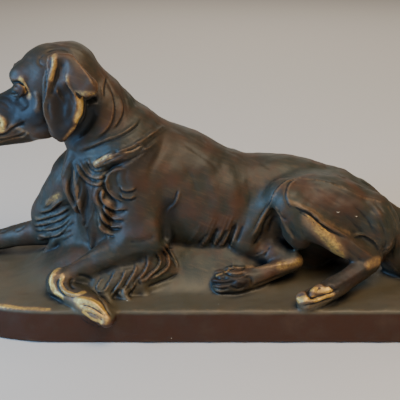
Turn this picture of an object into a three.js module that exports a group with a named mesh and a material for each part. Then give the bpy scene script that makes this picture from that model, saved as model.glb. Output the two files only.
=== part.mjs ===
// A cast bronze statue of a long-haired hunting dog lying on a plinth, made in one piece.
// Millimetres, +Z up. The origin is the middle of the plinth's underside, +X runs along the
// plinth towards the tail, and the dog looks along -X with its near side towards -Y.
// The statue is shaped as clay is: lumps and limbs are blended into one body, locks of hair
// are laid on and creases are cut. The surface is then drawn as a mesh and thinned.

import * as THREE from 'three';

// Plinth
const PLINTH_LENGTH = 610;
const PLINTH_DEPTH = 200;
const PLINTH_HEIGHT = 40;
const PLINTH_EDGE = 4; // rounding of the worn upper edge
const PLINTH_FOOT = 3; // bevel under the lower edge
const FRONT_END = 154; // how far the rounded end under the head reaches in
const REAR_END = 72; // the same for the tighter corners under the tail
const MOUND_HEIGHT = 10; // how far the ground swells up under the dog

// Dog
const DOG_LENGTH = 490; // nose to rump
const UNITS = 490; // the same in the units that the dog's forms are written in
const FRONT = -100; // where the plinth's front face lies in those units
const BANK = 34; // how high the ground banks up against breast and belly, in those units
const SCALE = DOG_LENGTH / UNITS;
const GROUND_FILLET = 5; // between the dog and what it lies on

// Surface
const GRID_STEP = 4;
const BLOCK = 4; // grid steps along the side of a block that is passed over as one
const TRIANGLES = 9400;

// Clay tools

// The smaller of two distances, with a fillet of about k where they are nearly equal.
function soften(a, b, k) {
  const h = Math.max(k - Math.abs(a - b), 0) / k;
  return Math.min(a, b) - h * h * k * 0.25;
}

// An egg-shaped lump: centre, half sizes, and its lean in degrees as seen from the near side.
function lump([cx, cy, cz], [rx, ry, rz], lean = 0) {
  const c = Math.cos(THREE.MathUtils.degToRad(lean));
  const s = Math.sin(THREE.MathUtils.degToRad(lean));
  const distance = (x, y, z) => {
    const px = x - cx;
    const py = y - cy;
    const pz = z - cz;
    const a = c * px + s * pz;
    const b = c * pz - s * px;
    const k0 = Math.hypot(a / rx, py / ry, b / rz);
    const k1 = Math.hypot(a / (rx * rx), py / (ry * ry), b / (rz * rz));
    return k1 < 1e-9 ? -Math.min(rx, ry, rz) : k0 * (k0 - 1) / k1;
  };
  const wide = Math.hypot(c * rx, s * rz);
  const high = Math.hypot(s * rx, c * rz);
  return { distance, low: [cx - wide, cy - ry, cz - high], top: [cx + wide, cy + ry, cz + high] };
}

// A limb: stations of [x, y, z, half width across the view, half height], joined smoothly.
function limb(...stations) {
  const steps = 4;
  const curve = new THREE.CatmullRomCurve3(
    stations.map(([x, y, z]) => new THREE.Vector3(x, y, z)), false, 'centripetal');
  const n = (stations.length - 1) * steps;
  const parts = [];
  const sizeAt = i => {
    const s = Math.min(Math.floor(i / steps), stations.length - 2);
    const g = THREE.MathUtils.smoothstep(i / steps - s, 0, 1);
    return [3, 4].map(j => THREE.MathUtils.lerp(
      stations[s][j] ?? stations[s][3], stations[s + 1][j] ?? stations[s + 1][3], g));
  };
  for (let i = 0; i < n; i++) {
    const p = curve.getPoint(i / n);
    const q = curve.getPoint((i + 1) / n).sub(p);
    const [w, h] = sizeAt(i);
    const [w2, h2] = sizeAt(i + 1);
    parts.push([p.x, p.y, p.z, q.x, q.y, q.z, 1 / q.lengthSq(), w, w2 - w, h, h2 - h]);
  }
  const distance = (x, y, z) => {
    let best = Infinity;
    for (const [ax, ay, az, dx, dy, dz, inverse, w0, dw, h0, dh] of parts) {
      const px = x - ax;
      const py = y - ay;
      const pz = z - az;
      const t = Math.min(Math.max((px * dx + py * dy + pz * dz) * inverse, 0), 1);
      const w = w0 + dw * t;
      const h = h0 + dh * t;
      const ex = (px - dx * t) / h;
      const ey = (py - dy * t) / w;
      const ez = (pz - dz * t) / h;
      const k0 = Math.sqrt(ex * ex + ey * ey + ez * ez);
      const k1 = Math.sqrt((ex * ex + ez * ez) / (h * h) + ey * ey / (w * w));
      const d = k1 < 1e-9 ? -Math.min(w, h) : k0 * (k0 - 1) / k1;
      if (d < best) best = d;
    }
    return best;
  };
  const low = [0, 1, 2].map(a => Math.min(...stations.map(s => s[a] - Math.max(s[3], s[4] ?? 0))));
  const top = [0, 1, 2].map(a => Math.max(...stations.map(s => s[a] + Math.max(s[3], s[4] ?? 0))));
  return { distance, low, top };
}

// A lock of hair: a limb through the points that thins out to its tip.
function lock(radius, ...points) {
  const last = points.length - 1;
  return limb(...points.map((p, i) => [...p, radius * (1 - 0.75 * (i / last) ** 1.5)]));
}

// The dog is built up in this list, above a ground at height 0. Each form is blended onto the
// ones before it with a fillet of about its first number, or else cut away from them.
const dog = [];
const add = (fillet, form) => dog.push({ fillet, form, away: false });
const cut = (fillet, form) => dog.push({ fillet, form, away: true });

// Trunk, from the chest between the shoulders to the rump
add(1, limb(
  [-60, 15, 104, 45, 61],
  [-30, 15, 96, 49, 71],
  [8, 16, 79, 50, 68],
  [46, 17, 71, 45, 65],
  [92, 17, 70, 40, 65],
  [136, 16, 66, 42, 56],
  [164, 14, 62, 42, 48],
  [184, 12, 56, 38, 38]));

// Clay packed under the trunk and between the breast and the near foreleg
add(5, lump([-100, -22, 40], [18, 14, 18]));
add(5, lump([-103, -24, 72], [17, 13, 24]));
add(5, limb([-125, 14, 24, 26, 30], [0, 16, 20, 32, 30], [125, 18, 20, 32, 28]));

// Neck
add(14, limb(
  [-138, 6, 210, 31, 38],
  [-121, 8, 192, 34, 43],
  [-106, 11, 169, 38, 47],
  [-84, 13, 144, 44, 53],
  [-58, 15, 118, 46, 56]));

// Breast, the hair under it, and the body between the forelegs
add(14, lump([-118, 6, 112], [29, 36, 48], 8));
add(12, lump([-112, 3, 62], [25, 27, 46], 6));
add(14, lump([-98, 12, 28], [42, 34, 44]));

// Skull, brows and cheeks
add(10, lump([-157, 5, 225], [41, 33, 40]));
add(10, lump([-138, 7, 226], [31, 31, 39]));
add(8, lump([-188, -8, 233], [15, 12, 13]));
add(8, lump([-188, 20, 231], [15, 12, 13]));
add(10, lump([-170, -13, 190], [24, 19, 26]));
add(10, lump([-170, 23, 189], [24, 18, 26]));

// Muzzle, lips, lower jaw and nose
add(9, limb([-182, 4, 206, 18, 20], [-214, 0, 193, 15, 17], [-245, -5, 183, 12, 13]));
add(9, limb([-180, 4, 188, 25, 25], [-212, 0, 178, 22, 23], [-238, -4, 171, 15, 18]));
add(6, limb([-160, 5, 176, 20, 13], [-190, 3, 168, 18, 11], [-216, 0, 163, 15, 9],
  [-236, -4, 159, 10, 7]));
add(4, lump([-256, -6, 186], [9, 11, 9]));

// Eyes, each a ball in its socket
cut(4, lump([-193, -22, 221], [9, 7, 6]));
cut(4, lump([-193, 24, 221], [9, 7, 6]));
add(1, lump([-189, -17, 221], [8, 8, 7]));
add(1, lump([-189, 19, 221], [8, 8, 7]));

// Far ear
add(5, limb([-146, 38, 236, 7, 13], [-148, 45, 212, 6, 15], [-147, 46, 190, 6, 15],
  [-145, 44, 170, 6, 11], [-144, 42, 158, 5, 6]));
add(5, limb([-138, 38, 234, 7, 12], [-128, 44, 220, 6, 12], [-120, 46, 210, 6, 10]));

// Near foreleg: shoulder, upper arm, forearm, wrist and the paw that hangs over the edge
add(16, lump([-78, -18, 116], [35, 25, 54], 6));
add(12, lump([-66, -29, 68], [28, 21, 38]));
add(10, limb([-54, -34, 58, 20, 23], [-76, -38, 52, 18, 20], [-101, -45, 38, 15, 16.5],
  [-122, -52, 29, 13, 13.5], [-140, -58, 21, 12, 12.5], [-153, -62, 15, 13, 15]));
add(5, limb([-154, -63, 13, 13, 14], [-141, -75, 9, 13, 12], [-124, -87, 5, 15, 12],
  [-109, -97, 0, 15, 12], [-99, -104, -6, 13, 10]));

// Far foreleg and shoulder
add(14, lump([-84, 42, 112], [34, 24, 54], 6));
add(12, lump([-143, 28, 100], [30, 25, 47], -20));
add(10, lump([-138, 22, 38], [30, 22, 34]));
add(10, lump([-162, 34, 78], [25, 20, 34], -30));
add(8, lump([-175, 38, 53], [25, 20, 28], -10));
add(8, limb([-172, 40, 32, 18, 17], [-205, 45, 26, 14, 15], [-238, 49, 17, 12, 12],
  [-256, 49, 13, 12, 12]));
add(5, limb([-258, 48, 12, 12, 12], [-272, 39, 9, 14, 10], [-284, 30, 7, 13, 9]));

// Near hind leg: thigh, breech, knee, lower leg, hock and foot
add(12, lump([147, -18, 87], [62, 30, 34], -17));
add(12, lump([194, -22, 62], [25, 24, 40]));
add(10, limb([98, -34, 96, 20, 22], [122, -42, 79, 16, 19], [148, -47, 60, 13, 15],
  [172, -48, 45, 11, 13], [187, -46, 33, 10, 12]));
add(5, limb([187, -46, 32, 10, 12], [160, -65, 20, 9, 12], [137, -79, 12, 12, 12],
  [122, -87, 9, 13, 12], [113, -92, 8, 12, 10]));

// Far hind leg, its thigh flat on the ground and its foot come out under the belly
add(16, lump([134, 38, 46], [60, 30, 42]));
add(10, limb([50, -6, 32, 20, 22], [80, -22, 32, 16, 17], [102, -34, 28, 11, 12]));
add(5, limb([104, -36, 27, 9, 10], [82, -45, 21, 9, 10], [57, -53, 15, 10, 11],
  [38, -57, 13, 13, 13], [24, -58, 12, 13, 11]));

// Tail
add(10, limb([200, 8, 70, 14, 17], [226, 4, 58, 13, 16], [250, -6, 38, 12, 17],
  [264, -26, 20, 11, 16], [262, -58, 12, 10, 11], [244, -82, 7, 7, 7]));
add(8, lump([222, -10, 26], [20, 14, 34], 22));

// Folds of skin at the near knee and from it to the flank
add(10, lump([105, -36, 69], [17, 15, 27], 24));
add(14, limb([90, -24, 104, 8, 14], [74, -26, 84, 7, 12], [60, -28, 64, 7, 11],
  [50, -28, 46, 6, 10]));

// Creases: before the knee, behind the near arm and along the mouth
cut(8, limb([84, -38, 86, 7, 7], [79, -36, 68, 8, 8], [70, -34, 52, 8, 7]));
cut(8, limb([-38, -44, 122, 5, 3], [-37, -46, 92, 8, 5], [-38, -46, 60, 8, 5]));
cut(3, limb([-190, -26, 185, 5, 3], [-212, -26, 173, 4, 2.5], [-238, -22, 163, 4, 2.5]));
cut(3, limb([-190, 32, 185, 5, 3], [-212, 25, 173, 4, 2.5], [-238, 17, 163, 4, 2.5]));

// Hair: down the breast, around the neck and on the near shoulder
add(5, lock(9, [-139, -10, 142], [-146, -13, 114], [-136, -18, 80]));
add(5, lock(9, [-128, -18, 134], [-132, -23, 104], [-126, -26, 68]));
add(5, lock(9, [-117, -22, 114], [-117, -28, 80], [-121, -26, 42]));
add(5, lock(8, [-106, -22, 84], [-108, -27, 58], [-112, -26, 30]));
add(5, lock(8, [-103, -30, 130], [-111, -35, 106], [-105, -37, 82]));
add(5, lock(8, [-100, -34, 98], [-107, -37, 78], [-98, -41, 60]));
add(5, lock(8, [-62, -12, 160], [-84, -28, 151], [-106, -29, 143], [-122, -26, 142]));
add(5, lock(7, [-56, -6, 172], [-80, -24, 165], [-100, -26, 158]));

// Hair: a web from the near forearm to the ground, and its tips
add(12, limb([-124, -60, 3, 12, 12], [-100, -56, 4, 16, 20], [-77, -49, 5, 17, 30],
  [-56, -38, 8, 14, 34]));
add(6, lock(7, [-112, -62, 10], [-104, -71, 5], [-97, -79, 1]));
add(6, lock(7, [-92, -60, 13], [-85, -69, 6], [-78, -76, 1]));
add(6, lock(7, [-73, -52, 20], [-66, -58, 10], [-60, -63, 2]));
add(6, lock(7, [-55, -42, 28], [-43, -45, 16], [-35, -48, 4]));

// Hair: at the far elbow, on the breech and on the tail
add(5, lock(8, [-158, 20, 62], [-172, 18, 42], [-190, 24, 28]));
add(5, lock(8, [-160, 18, 46], [-170, 16, 28], [-182, 22, 14]));
add(5, lock(10, [194, -36, 82], [206, -37, 58], [203, -34, 28]));
add(5, lock(9, [210, -24, 76], [221, -24, 52], [222, -22, 22]));
add(12, lump([240, -18, 20], [20, 18, 22], 10));
add(5, lock(9, [238, -14, 38], [238, -28, 20], [230, -40, 3]));
add(5, lock(9, [254, -22, 26], [252, -38, 13], [242, -52, 2]));

// Near ear: what it lies on, the front leaf down to its tip, the flap folded back, the leaf
// under it, and the hollow behind it
add(6, lump([-143, -26, 208], [15, 12, 36]));
add(4, limb([-146, -31, 251, 6, 12], [-148, -38, 228, 5, 15], [-149, -40, 204, 5, 15],
  [-147, -40, 185, 5, 12], [-146, -38, 175, 5, 6]));
add(4, limb([-138, -31, 250, 6, 12], [-127, -38, 239, 6, 12], [-116, -42, 229, 5, 11]));
add(4, limb([-134, -35, 222, 6, 12], [-132, -38, 204, 6, 11], [-139, -39, 187, 5, 9]));
cut(5, limb([-108, -40, 216, 7, 3], [-112, -37, 204, 9, 8], [-118, -33, 190, 9, 10],
  [-130, -30, 177, 8, 7], [-144, -27, 166, 6, 4]));

// Statue

// The plinth: one broad rounded end, a worn upper edge and a bevelled foot.
function plinth(x, y, z) {
  const half = PLINTH_LENGTH / 2;
  const deep = PLINTH_DEPTH / 2;
  const end = x < 0 ? FRONT_END : REAR_END;
  const turn = x < 0 ? deep : REAR_END;
  const ex = (Math.abs(x) - (half - end)) / end;
  const ey = Math.max(Math.abs(y) - (deep - turn), 0) / turn;
  let side = Math.abs(y) - deep;
  if (ex > 0) {
    const k0 = Math.hypot(ex, ey);
    side = k0 * (k0 - 1) / Math.max(Math.hypot(ex / end, ey / turn), 1e-9);
  }
  const a = side + PLINTH_EDGE;
  const b = z - PLINTH_HEIGHT + PLINTH_EDGE;
  const worn = Math.min(Math.max(a, b), 0) + Math.hypot(Math.max(a, 0), Math.max(b, 0)) - PLINTH_EDGE;
  return Math.max(worn, (side - z + PLINTH_FOOT) * Math.SQRT1_2);
}

// How high the ground swells up; it runs out before it reaches the plinth's edge.
function swell(x, y) {
  const r = Math.hypot((x - 20) / (PLINTH_LENGTH * 0.46), (y - 16) / (PLINTH_DEPTH * 0.5));
  return MOUND_HEIGHT * (1 - THREE.MathUtils.smoothstep(r, 0.25, 0.95));
}

// How high the ground banks up besides, against the dog's breast and belly.
function bank(x, y) {
  const { smoothstep } = THREE.MathUtils;
  return BANK * smoothstep(x, -215, -125) * (1 - smoothstep(x, 41, 96))
    * smoothstep(y, -66, -16) * (1 - smoothstep(y, 30, 88));
}

// The dog's forms blended in turn; a form far from the point is measured to its box.
function body(x, y, z) {
  const far = 30;
  let d = Infinity;
  for (const { fillet, form: { distance, low, top }, away } of dog) {
    const gap = Math.hypot(
      Math.max(low[0] - x, 0, x - top[0]),
      Math.max(low[1] - y, 0, y - top[1]),
      Math.max(low[2] - z, 0, z - top[2]));
    if (gap > (away ? -d : d) + fillet) continue;
    const apart = gap > far ? gap : distance(x, y, z);
    d = away ? -soften(-d, apart, fillet) : soften(d, apart, fillet);
  }
  return d;
}

function statue(x, y, z) {
  const px = x / SCALE;
  const py = (y + PLINTH_DEPTH / 2) / SCALE + FRONT;
  const pz = (z - PLINTH_HEIGHT) / SCALE;
  const raised = swell(x, y) + bank(px, py) * SCALE;
  const ground = raised > 0 ? (z - PLINTH_HEIGHT - raised) * 0.85 : Infinity;
  const slab = Math.max(Math.min(plinth(x, y, z), ground), plinth(x, y, Math.min(z, PLINTH_HEIGHT / 2)));
  return Math.max(soften(slab, body(px, py, pz) * SCALE, GROUND_FILLET), -z);
}

// Says for each pattern of a cell's eight corners, as bits, whether two surfaces would meet in
// it: either side is in two groups, or a face has its two sides on opposite corners.
const tangled = Array.from({ length: 256 }, (_, bits) => {
  const full = i => bits >> i & 1;
  const groups = want => {
    const left = new Set([0, 1, 2, 3, 4, 5, 6, 7].filter(i => full(i) === want));
    let count = 0;
    while (left.size) {
      const stack = [left.values().next().value];
      left.delete(stack[0]);
      count++;
      while (stack.length) {
        const i = stack.pop();
        for (const j of [i ^ 1, i ^ 2, i ^ 4]) if (left.delete(j)) stack.push(j);
      }
    }
    return count;
  };
  const crossed = [1, 2, 4].some((p, n) => [1, 2, 4].slice(n + 1).some(q => [0, 7 ^ p ^ q].some(
    i => full(i) === full(i ^ p ^ q) && full(i ^ p) === full(i ^ q) && full(i) !== full(i ^ p))));
  return crossed || groups(1) > 1 || groups(0) > 1;
});

// Draws the surface where the distance is zero: one corner in each cell that the surface
// crosses, and one four-sided face across each grid edge that it crosses.
function skin(form, low, top, step) {
  const [nx, ny, nz] = low.map((v, a) => Math.ceil((top[a] - v) / step / BLOCK) * BLOCK + 1);
  const at = (i, j, k) => i + nx * (j + ny * k);
  const point = (i, j, k) => [low[0] + i * step, low[1] + j * step, low[2] + k * step];
  const d = new Float32Array(nx * ny * nz).fill(NaN);
  const band = 1.5 * Math.sqrt(3) * BLOCK / 2 * step;
  for (let k = 0; k < nz - 1; k += BLOCK) {
    for (let j = 0; j < ny - 1; j += BLOCK) {
      for (let i = 0; i < nx - 1; i += BLOCK) {
        const middle = form(...point(i + BLOCK / 2, j + BLOCK / 2, k + BLOCK / 2));
        for (let c = k; c <= k + BLOCK; c++) {
          for (let b = j; b <= j + BLOCK; b++) {
            for (let a = i; a <= i + BLOCK; a++) {
              const n = at(a, b, c);
              if (Math.abs(middle) > band) {
                if (Number.isNaN(d[n])) d[n] = middle;
              } else if (Number.isNaN(d[n]) || Math.abs(d[n]) > band) {
                d[n] = form(...point(a, b, c));
              }
            }
          }
        }
      }
    }
  }
  const barelyInside = -0.05 * step;
  const order = [0, 1, 2, 3, 4, 5, 6, 7];
  for (let filled = true; filled;) {
    filled = false;
    for (let k = 0; k < nz - 1; k++) {
      for (let j = 0; j < ny - 1; j++) {
        for (let i = 0; i < nx - 1; i++) {
          const spots = order.map(c => at(i + (c & 1), j + (c >> 1 & 1), k + (c >> 2)));
          const bits = spots.reduce((sum, n, c) => sum | (d[n] < 0) << c, 0);
          if (!tangled[bits]) continue;
          const empty = spots.filter(n => d[n] >= 0);
          d[empty.reduce((a, b) => (d[b] < d[a] ? b : a))] = barelyInside;
          filled = true;
        }
      }
    }
  }
  const corners = [];
  const corner = new Int32Array(nx * ny * nz).fill(-1);
  for (let k = 0; k < nz - 1; k++) {
    for (let j = 0; j < ny - 1; j++) {
      for (let i = 0; i < nx - 1; i++) {
        let n = 0;
        const sum = [0, 0, 0];
        for (let e = 0; e < 12; e++) {
          const axis = e >> 2;
          const a = [0, 0, 0];
          a[(axis + 1) % 3] = e & 1;
          a[(axis + 2) % 3] = (e >> 1) & 1;
          const b = [...a];
          b[axis] = 1;
          const da = d[at(i + a[0], j + a[1], k + a[2])];
          const db = d[at(i + b[0], j + b[1], k + b[2])];
          if ((da < 0) === (db < 0)) continue;
          a[axis] = da / (da - db);
          sum.forEach((v, c) => { sum[c] = v + a[c]; });
          n++;
        }
        if (n) {
          corner[at(i, j, k)] = corners.length / 3;
          corners.push(...point(i + sum[0] / n, j + sum[1] / n, k + sum[2] / n));
        }
      }
    }
  }
  const faces = [];
  const around = (cell, axis) => [[1, 1], [0, 1], [0, 0], [1, 0]].map(([b, c]) => {
    const q = [...cell];
    q[(axis + 1) % 3] -= b;
    q[(axis + 2) % 3] -= c;
    return corner[at(...q)];
  });
  for (let k = 1; k < nz - 1; k++) {
    for (let j = 1; j < ny - 1; j++) {
      for (let i = 1; i < nx - 1; i++) {
        for (let axis = 0; axis < 3; axis++) {
          const cell = [i, j, k];
          const next = [i, j, k];
          next[axis]++;
          const inside = d[at(...cell)] < 0;
          if (inside === d[at(...next)] < 0) continue;
          const ring = around(cell, axis);
          if (!inside) ring.reverse();
          faces.push(ring[0], ring[1], ring[2], ring[0], ring[2], ring[3]);
        }
      }
    }
  }
  return { corners, faces };
}

// Leaves out the surface of any pocket that the forms have closed in between them.
function outer({ corners, faces }) {
  const owner = Int32Array.from({ length: corners.length / 3 }, (_, i) => i);
  const root = i => {
    while (owner[i] !== i) {
      owner[i] = owner[owner[i]];
      i = owner[i];
    }
    return i;
  };
  for (let f = 0; f < faces.length; f += 3) {
    owner[root(faces[f])] = root(faces[f + 1]);
    owner[root(faces[f + 1])] = root(faces[f + 2]);
  }
  const kept = root(owner.reduce((a, _, b) => (corners[3 * b] < corners[3 * a] ? b : a), 0));
  return { corners, faces: faces.filter((_, n) => root(faces[n - n % 3]) === kept) };
}

// Thins a closed mesh by joining, again and again, the two neighbouring corners whose joining
// changes the surface least. Each corner keeps the sum of its faces' planes to measure that.
function thin({ corners, faces }, target) {
  const level = 1e-3; // a corner below this height is on the underside and stays there
  const lengthCost = 0.004; // added for each square millimetre of an edge's length squared
  const fold = 0.3; // least cosine of the turn that a face may make
  const sliver = 0.06; // least share of its longest side squared that a face may cover
  const solvable = 1e-4; // least determinant, for its size, from which a best spot is worked out
  const at = i => new THREE.Vector3(corners[3 * i], corners[3 * i + 1], corners[3 * i + 2]);
  const spots = Array.from({ length: corners.length / 3 }, (_, i) => at(i));
  const planes = spots.map(() => new Float64Array(10));
  const around = spots.map(() => new Set());
  const age = new Uint32Array(spots.length);
  const tris = [];
  for (let i = 0; i < faces.length; i += 3) tris.push([faces[i], faces[i + 1], faces[i + 2]]);
  const cross = (a, b, c) => new THREE.Vector3().crossVectors(b.clone().sub(a), c.clone().sub(a));
  tris.forEach((tri, f) => {
    const normal = cross(...tri.map(i => spots[i]));
    const area = normal.length() / 2;
    normal.normalize();
    const w = -normal.dot(spots[tri[0]]);
    const { x, y, z } = normal;
    const q = [x * x, x * y, x * z, x * w, y * y, y * z, y * w, z * z, z * w, w * w];
    for (const i of tri) {
      q.forEach((v, n) => { planes[i][n] += v * area; });
      around[i].add(f);
    }
  });
  const errorAt = (q, { x, y, z }) => q[0] * x * x + q[4] * y * y + q[7] * z * z + q[9]
    + 2 * (q[1] * x * y + q[2] * x * z + q[5] * y * z + q[3] * x + q[6] * y + q[8] * z);
  const heap = [];
  const lift = item => {
    let i = heap.push(item) - 1;
    while (i > 0) {
      const up = (i - 1) >> 1;
      if (heap[up].cost <= item.cost) break;
      heap[i] = heap[up];
      i = up;
    }
    heap[i] = item;
  };
  const take = () => {
    const first = heap[0];
    const item = heap.pop();
    const n = heap.length;
    if (n) {
      let i = 0;
      for (;;) {
        let c = 2 * i + 1;
        if (c >= n) break;
        if (c + 1 < n && heap[c + 1].cost < heap[c].cost) c++;
        if (heap[c].cost >= item.cost) break;
        heap[i] = heap[c];
        i = c;
      }
      heap[i] = item;
    }
    return first;
  };
  const offer = (a, b) => {
    const q = planes[a].map((v, n) => v + planes[b][n]);
    const p = spots[a];
    const r = spots[b];
    const middle = p.clone().lerp(r, 0.5);
    const tries = [p, r, middle];
    const m = new THREE.Matrix3().set(q[0], q[1], q[2], q[1], q[4], q[5], q[2], q[5], q[7]);
    if (m.determinant() > solvable * (q[0] + q[4] + q[7]) ** 3) {
      const best = new THREE.Vector3(-q[3], -q[6], -q[8]).applyMatrix3(m.invert());
      if (best.distanceTo(middle) < 1.5 * p.distanceTo(r)) tries.push(best);
    }
    const held = p.z < level || r.z < level;
    let choice = null;
    let least = Infinity;
    for (const t of tries) {
      if (held && t.z > level) continue;
      const e = errorAt(q, t);
      if (e < least) {
        least = e;
        choice = t;
      }
    }
    if (choice) {
      const cost = Math.max(least, 0) + lengthCost * p.distanceToSquared(r);
      lift({ cost, a, b, spot: choice.clone(), ages: [age[a], age[b]] });
    }
  };
  const neighbours = i => {
    const set = new Set();
    for (const f of around[i]) for (const j of tris[f]) if (j !== i) set.add(j);
    return set;
  };
  spots.forEach((_, i) => neighbours(i).forEach(j => j > i && offer(i, j)));
  let count = tris.length;
  while (count > target && heap.length) {
    const { a, b, spot, ages } = take();
    if (age[a] !== ages[0] || age[b] !== ages[1]) continue;
    const ring = neighbours(b);
    if ([...neighbours(a)].filter(i => ring.has(i)).length !== 2) continue;
    const folds = [[a, b], [b, a]].some(([i, other]) => [...around[i]].some(f => {
      if (tris[f].includes(other)) return false;
      const before = cross(...tris[f].map(j => spots[j]));
      const after = cross(...tris[f].map(j => (j === i ? spot : spots[j])));
      const long = Math.max(...tris[f].map(j => (j === i ? 0 : spots[j].distanceToSquared(spot))));
      return after.dot(before) < fold * after.length() * before.length()
        || after.length() < sliver * long;
    }));
    if (folds) continue;
    spots[a] = spot;
    planes[b].forEach((v, n) => { planes[a][n] += v; });
    for (const f of around[b]) {
      if (tris[f].includes(a)) {
        tris[f].forEach(j => around[j].delete(f));
        tris[f] = null;
        count--;
      } else {
        tris[f] = tris[f].map(j => (j === b ? a : j));
        around[a].add(f);
      }
    }
    around[b].clear();
    age[a]++;
    age[b]++;
    neighbours(a).forEach(j => offer(a, j));
  }
  const number = new Map();
  const points = [];
  const index = tris.filter(Boolean).flat().map(i => {
    if (!number.has(i)) {
      number.set(i, points.length / 3);
      points.push(spots[i].x, spots[i].y, spots[i].z);
    }
    return number.get(i);
  });
  const geometry = new THREE.BufferGeometry();
  geometry.setAttribute('position', new THREE.Float32BufferAttribute(points, 3));
  geometry.setIndex(index);
  geometry.computeVertexNormals();
  return geometry;
}

// The box that is searched for the surface: the plinth and the dog's forms, and a margin.
const margin = 2.5 * GRID_STEP;
const forms = dog.filter(({ away }) => !away).map(({ form }) => form);
const least = [0, 1, 2].map(a => SCALE * Math.min(...forms.map(form => form.low[a])));
const most = [0, 1, 2].map(a => SCALE * Math.max(...forms.map(form => form.top[a])));
const middle = -PLINTH_DEPTH / 2 - FRONT * SCALE;
const low = [
  Math.min(-PLINTH_LENGTH / 2, least[0]) - margin,
  Math.min(-PLINTH_DEPTH / 2, least[1] + middle) - margin,
  -1.5 * GRID_STEP];
const top = [
  Math.max(PLINTH_LENGTH / 2, most[0]) + margin,
  Math.max(PLINTH_DEPTH / 2, most[1] + middle) + margin,
  PLINTH_HEIGHT + most[2] + margin];

const bronze = new THREE.MeshStandardMaterial({ color: 0x3a2a20, roughness: 0.4, metalness: 0.8 });
const figure = new THREE.Mesh(thin(outer(skin(statue, low, top, GRID_STEP)), TRIANGLES), bronze);
figure.name = 'hunting_dog_statue';

const group = new THREE.Group();
group.name = 'hunting_dog';
group.add(figure);
export default group;
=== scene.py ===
# A cast bronze statue of a hunting dog lying on its plinth, dressed for the render.
# Metres, +Z up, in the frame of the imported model. The clay that the statue is shaped from is
# measured in millimetres, as in the part's source.

import math

import bpy
import numpy as np
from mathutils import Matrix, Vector
from mathutils.bvhtree import BVHTree


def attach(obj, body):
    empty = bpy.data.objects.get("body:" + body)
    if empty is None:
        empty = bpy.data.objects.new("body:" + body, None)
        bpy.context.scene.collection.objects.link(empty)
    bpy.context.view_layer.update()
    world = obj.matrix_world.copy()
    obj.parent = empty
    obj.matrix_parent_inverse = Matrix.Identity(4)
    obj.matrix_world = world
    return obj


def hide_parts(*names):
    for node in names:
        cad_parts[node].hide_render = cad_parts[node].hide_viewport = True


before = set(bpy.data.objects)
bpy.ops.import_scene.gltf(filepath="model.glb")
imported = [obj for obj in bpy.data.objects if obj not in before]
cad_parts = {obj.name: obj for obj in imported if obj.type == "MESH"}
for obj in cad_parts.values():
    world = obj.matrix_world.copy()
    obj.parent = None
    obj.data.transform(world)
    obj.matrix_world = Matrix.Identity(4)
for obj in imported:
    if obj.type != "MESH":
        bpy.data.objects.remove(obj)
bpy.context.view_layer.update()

# The camera. It stands before the middle of the plinth, a little above the dog's head, and
# looks down at it, so that the muzzle and the tail are cut off at the picture's edges. The
# picture and the focal length are in pixels, and the eye's place is in millimetres.
PICTURE = 400
FOCAL = 900
FILM = 36
EYE = np.array([0.0, -943.0, 508.0])
PITCH = math.radians(22)
MM_PER_METRE = 1000

camera = bpy.data.cameras.new("camera")
camera.sensor_width = FILM
camera.lens = FILM * FOCAL / PICTURE
viewer = bpy.data.objects.new("camera", camera)
viewer.location = EYE / MM_PER_METRE
viewer.rotation_euler = (math.pi / 2 - PITCH, 0, 0)
bpy.context.scene.collection.objects.link(viewer)
bpy.context.scene.camera = viewer


# The statue: dog and plinth are one bronze cast, taken from a clay model. The clay is lumps
# and limbs blended into one body, with creases cut into it, and every form is a function
# that gives the distance of points to it, negative inside. Distances are worked out within
# BAND of the surface, and further off they only have to be FAR.
GRID = 1.6
BAND = 12.0
FAR = 1e3
TINY = 1e-6

clay = []


def soften(a, b, fillet):
    h = np.maximum(fillet - np.abs(a - b), 0) / fillet
    return np.minimum(a, b) - h * h * fillet * 0.25


def add(fillet, form):
    clay.append((fillet, form, True))


def cut(fillet, form):
    clay.append((fillet, form, False))


def lump(centre, radii, lean=0):
    centre, radii = np.array(centre, np.float32), np.array(radii, np.float32)
    c, s = math.cos(math.radians(lean)), math.sin(math.radians(lean))
    turn = np.array([[c, 0, s], [0, 1, 0], [-s, 0, c]], np.float32)

    def distance(points):
        local = (points - centre) @ turn.T
        k0 = np.linalg.norm(local / radii, axis=1)
        k1 = np.linalg.norm(local / radii ** 2, axis=1)
        return np.where(k1 < TINY, -radii.min(), k0 * (k0 - 1) / np.maximum(k1, TINY))

    reach = np.sqrt((turn.T ** 2) @ radii ** 2)
    return distance, centre - reach, centre + reach


def smooth_path(points, steps):
    # A curve through the points, rounder where they lie far apart.
    p = np.array(points, float)
    p = np.vstack([2 * p[0] - p[1], p, 2 * p[-1] - p[-2]])
    out = []
    for p0, p1, p2, p3 in zip(p, p[1:], p[2:], p[3:]):
        gaps = (p1 - p0, p2 - p1, p3 - p2)
        a, b, c = (max(np.linalg.norm(gap), 1e-4) ** 0.5 for gap in gaps)
        m1 = ((p1 - p0) / a - (p2 - p0) / (a + b) + (p2 - p1) / b) * b
        m2 = ((p2 - p1) / b - (p3 - p1) / (b + c) + (p3 - p2) / c) * b
        for t in np.arange(steps) / steps:
            out.append(p1 + m1 * t + (3 * p2 - 3 * p1 - 2 * m1 - m2) * t ** 2
                       + (2 * p1 - 2 * p2 + m1 + m2) * t ** 3)
    return np.array(out + [p[-2]])


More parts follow.
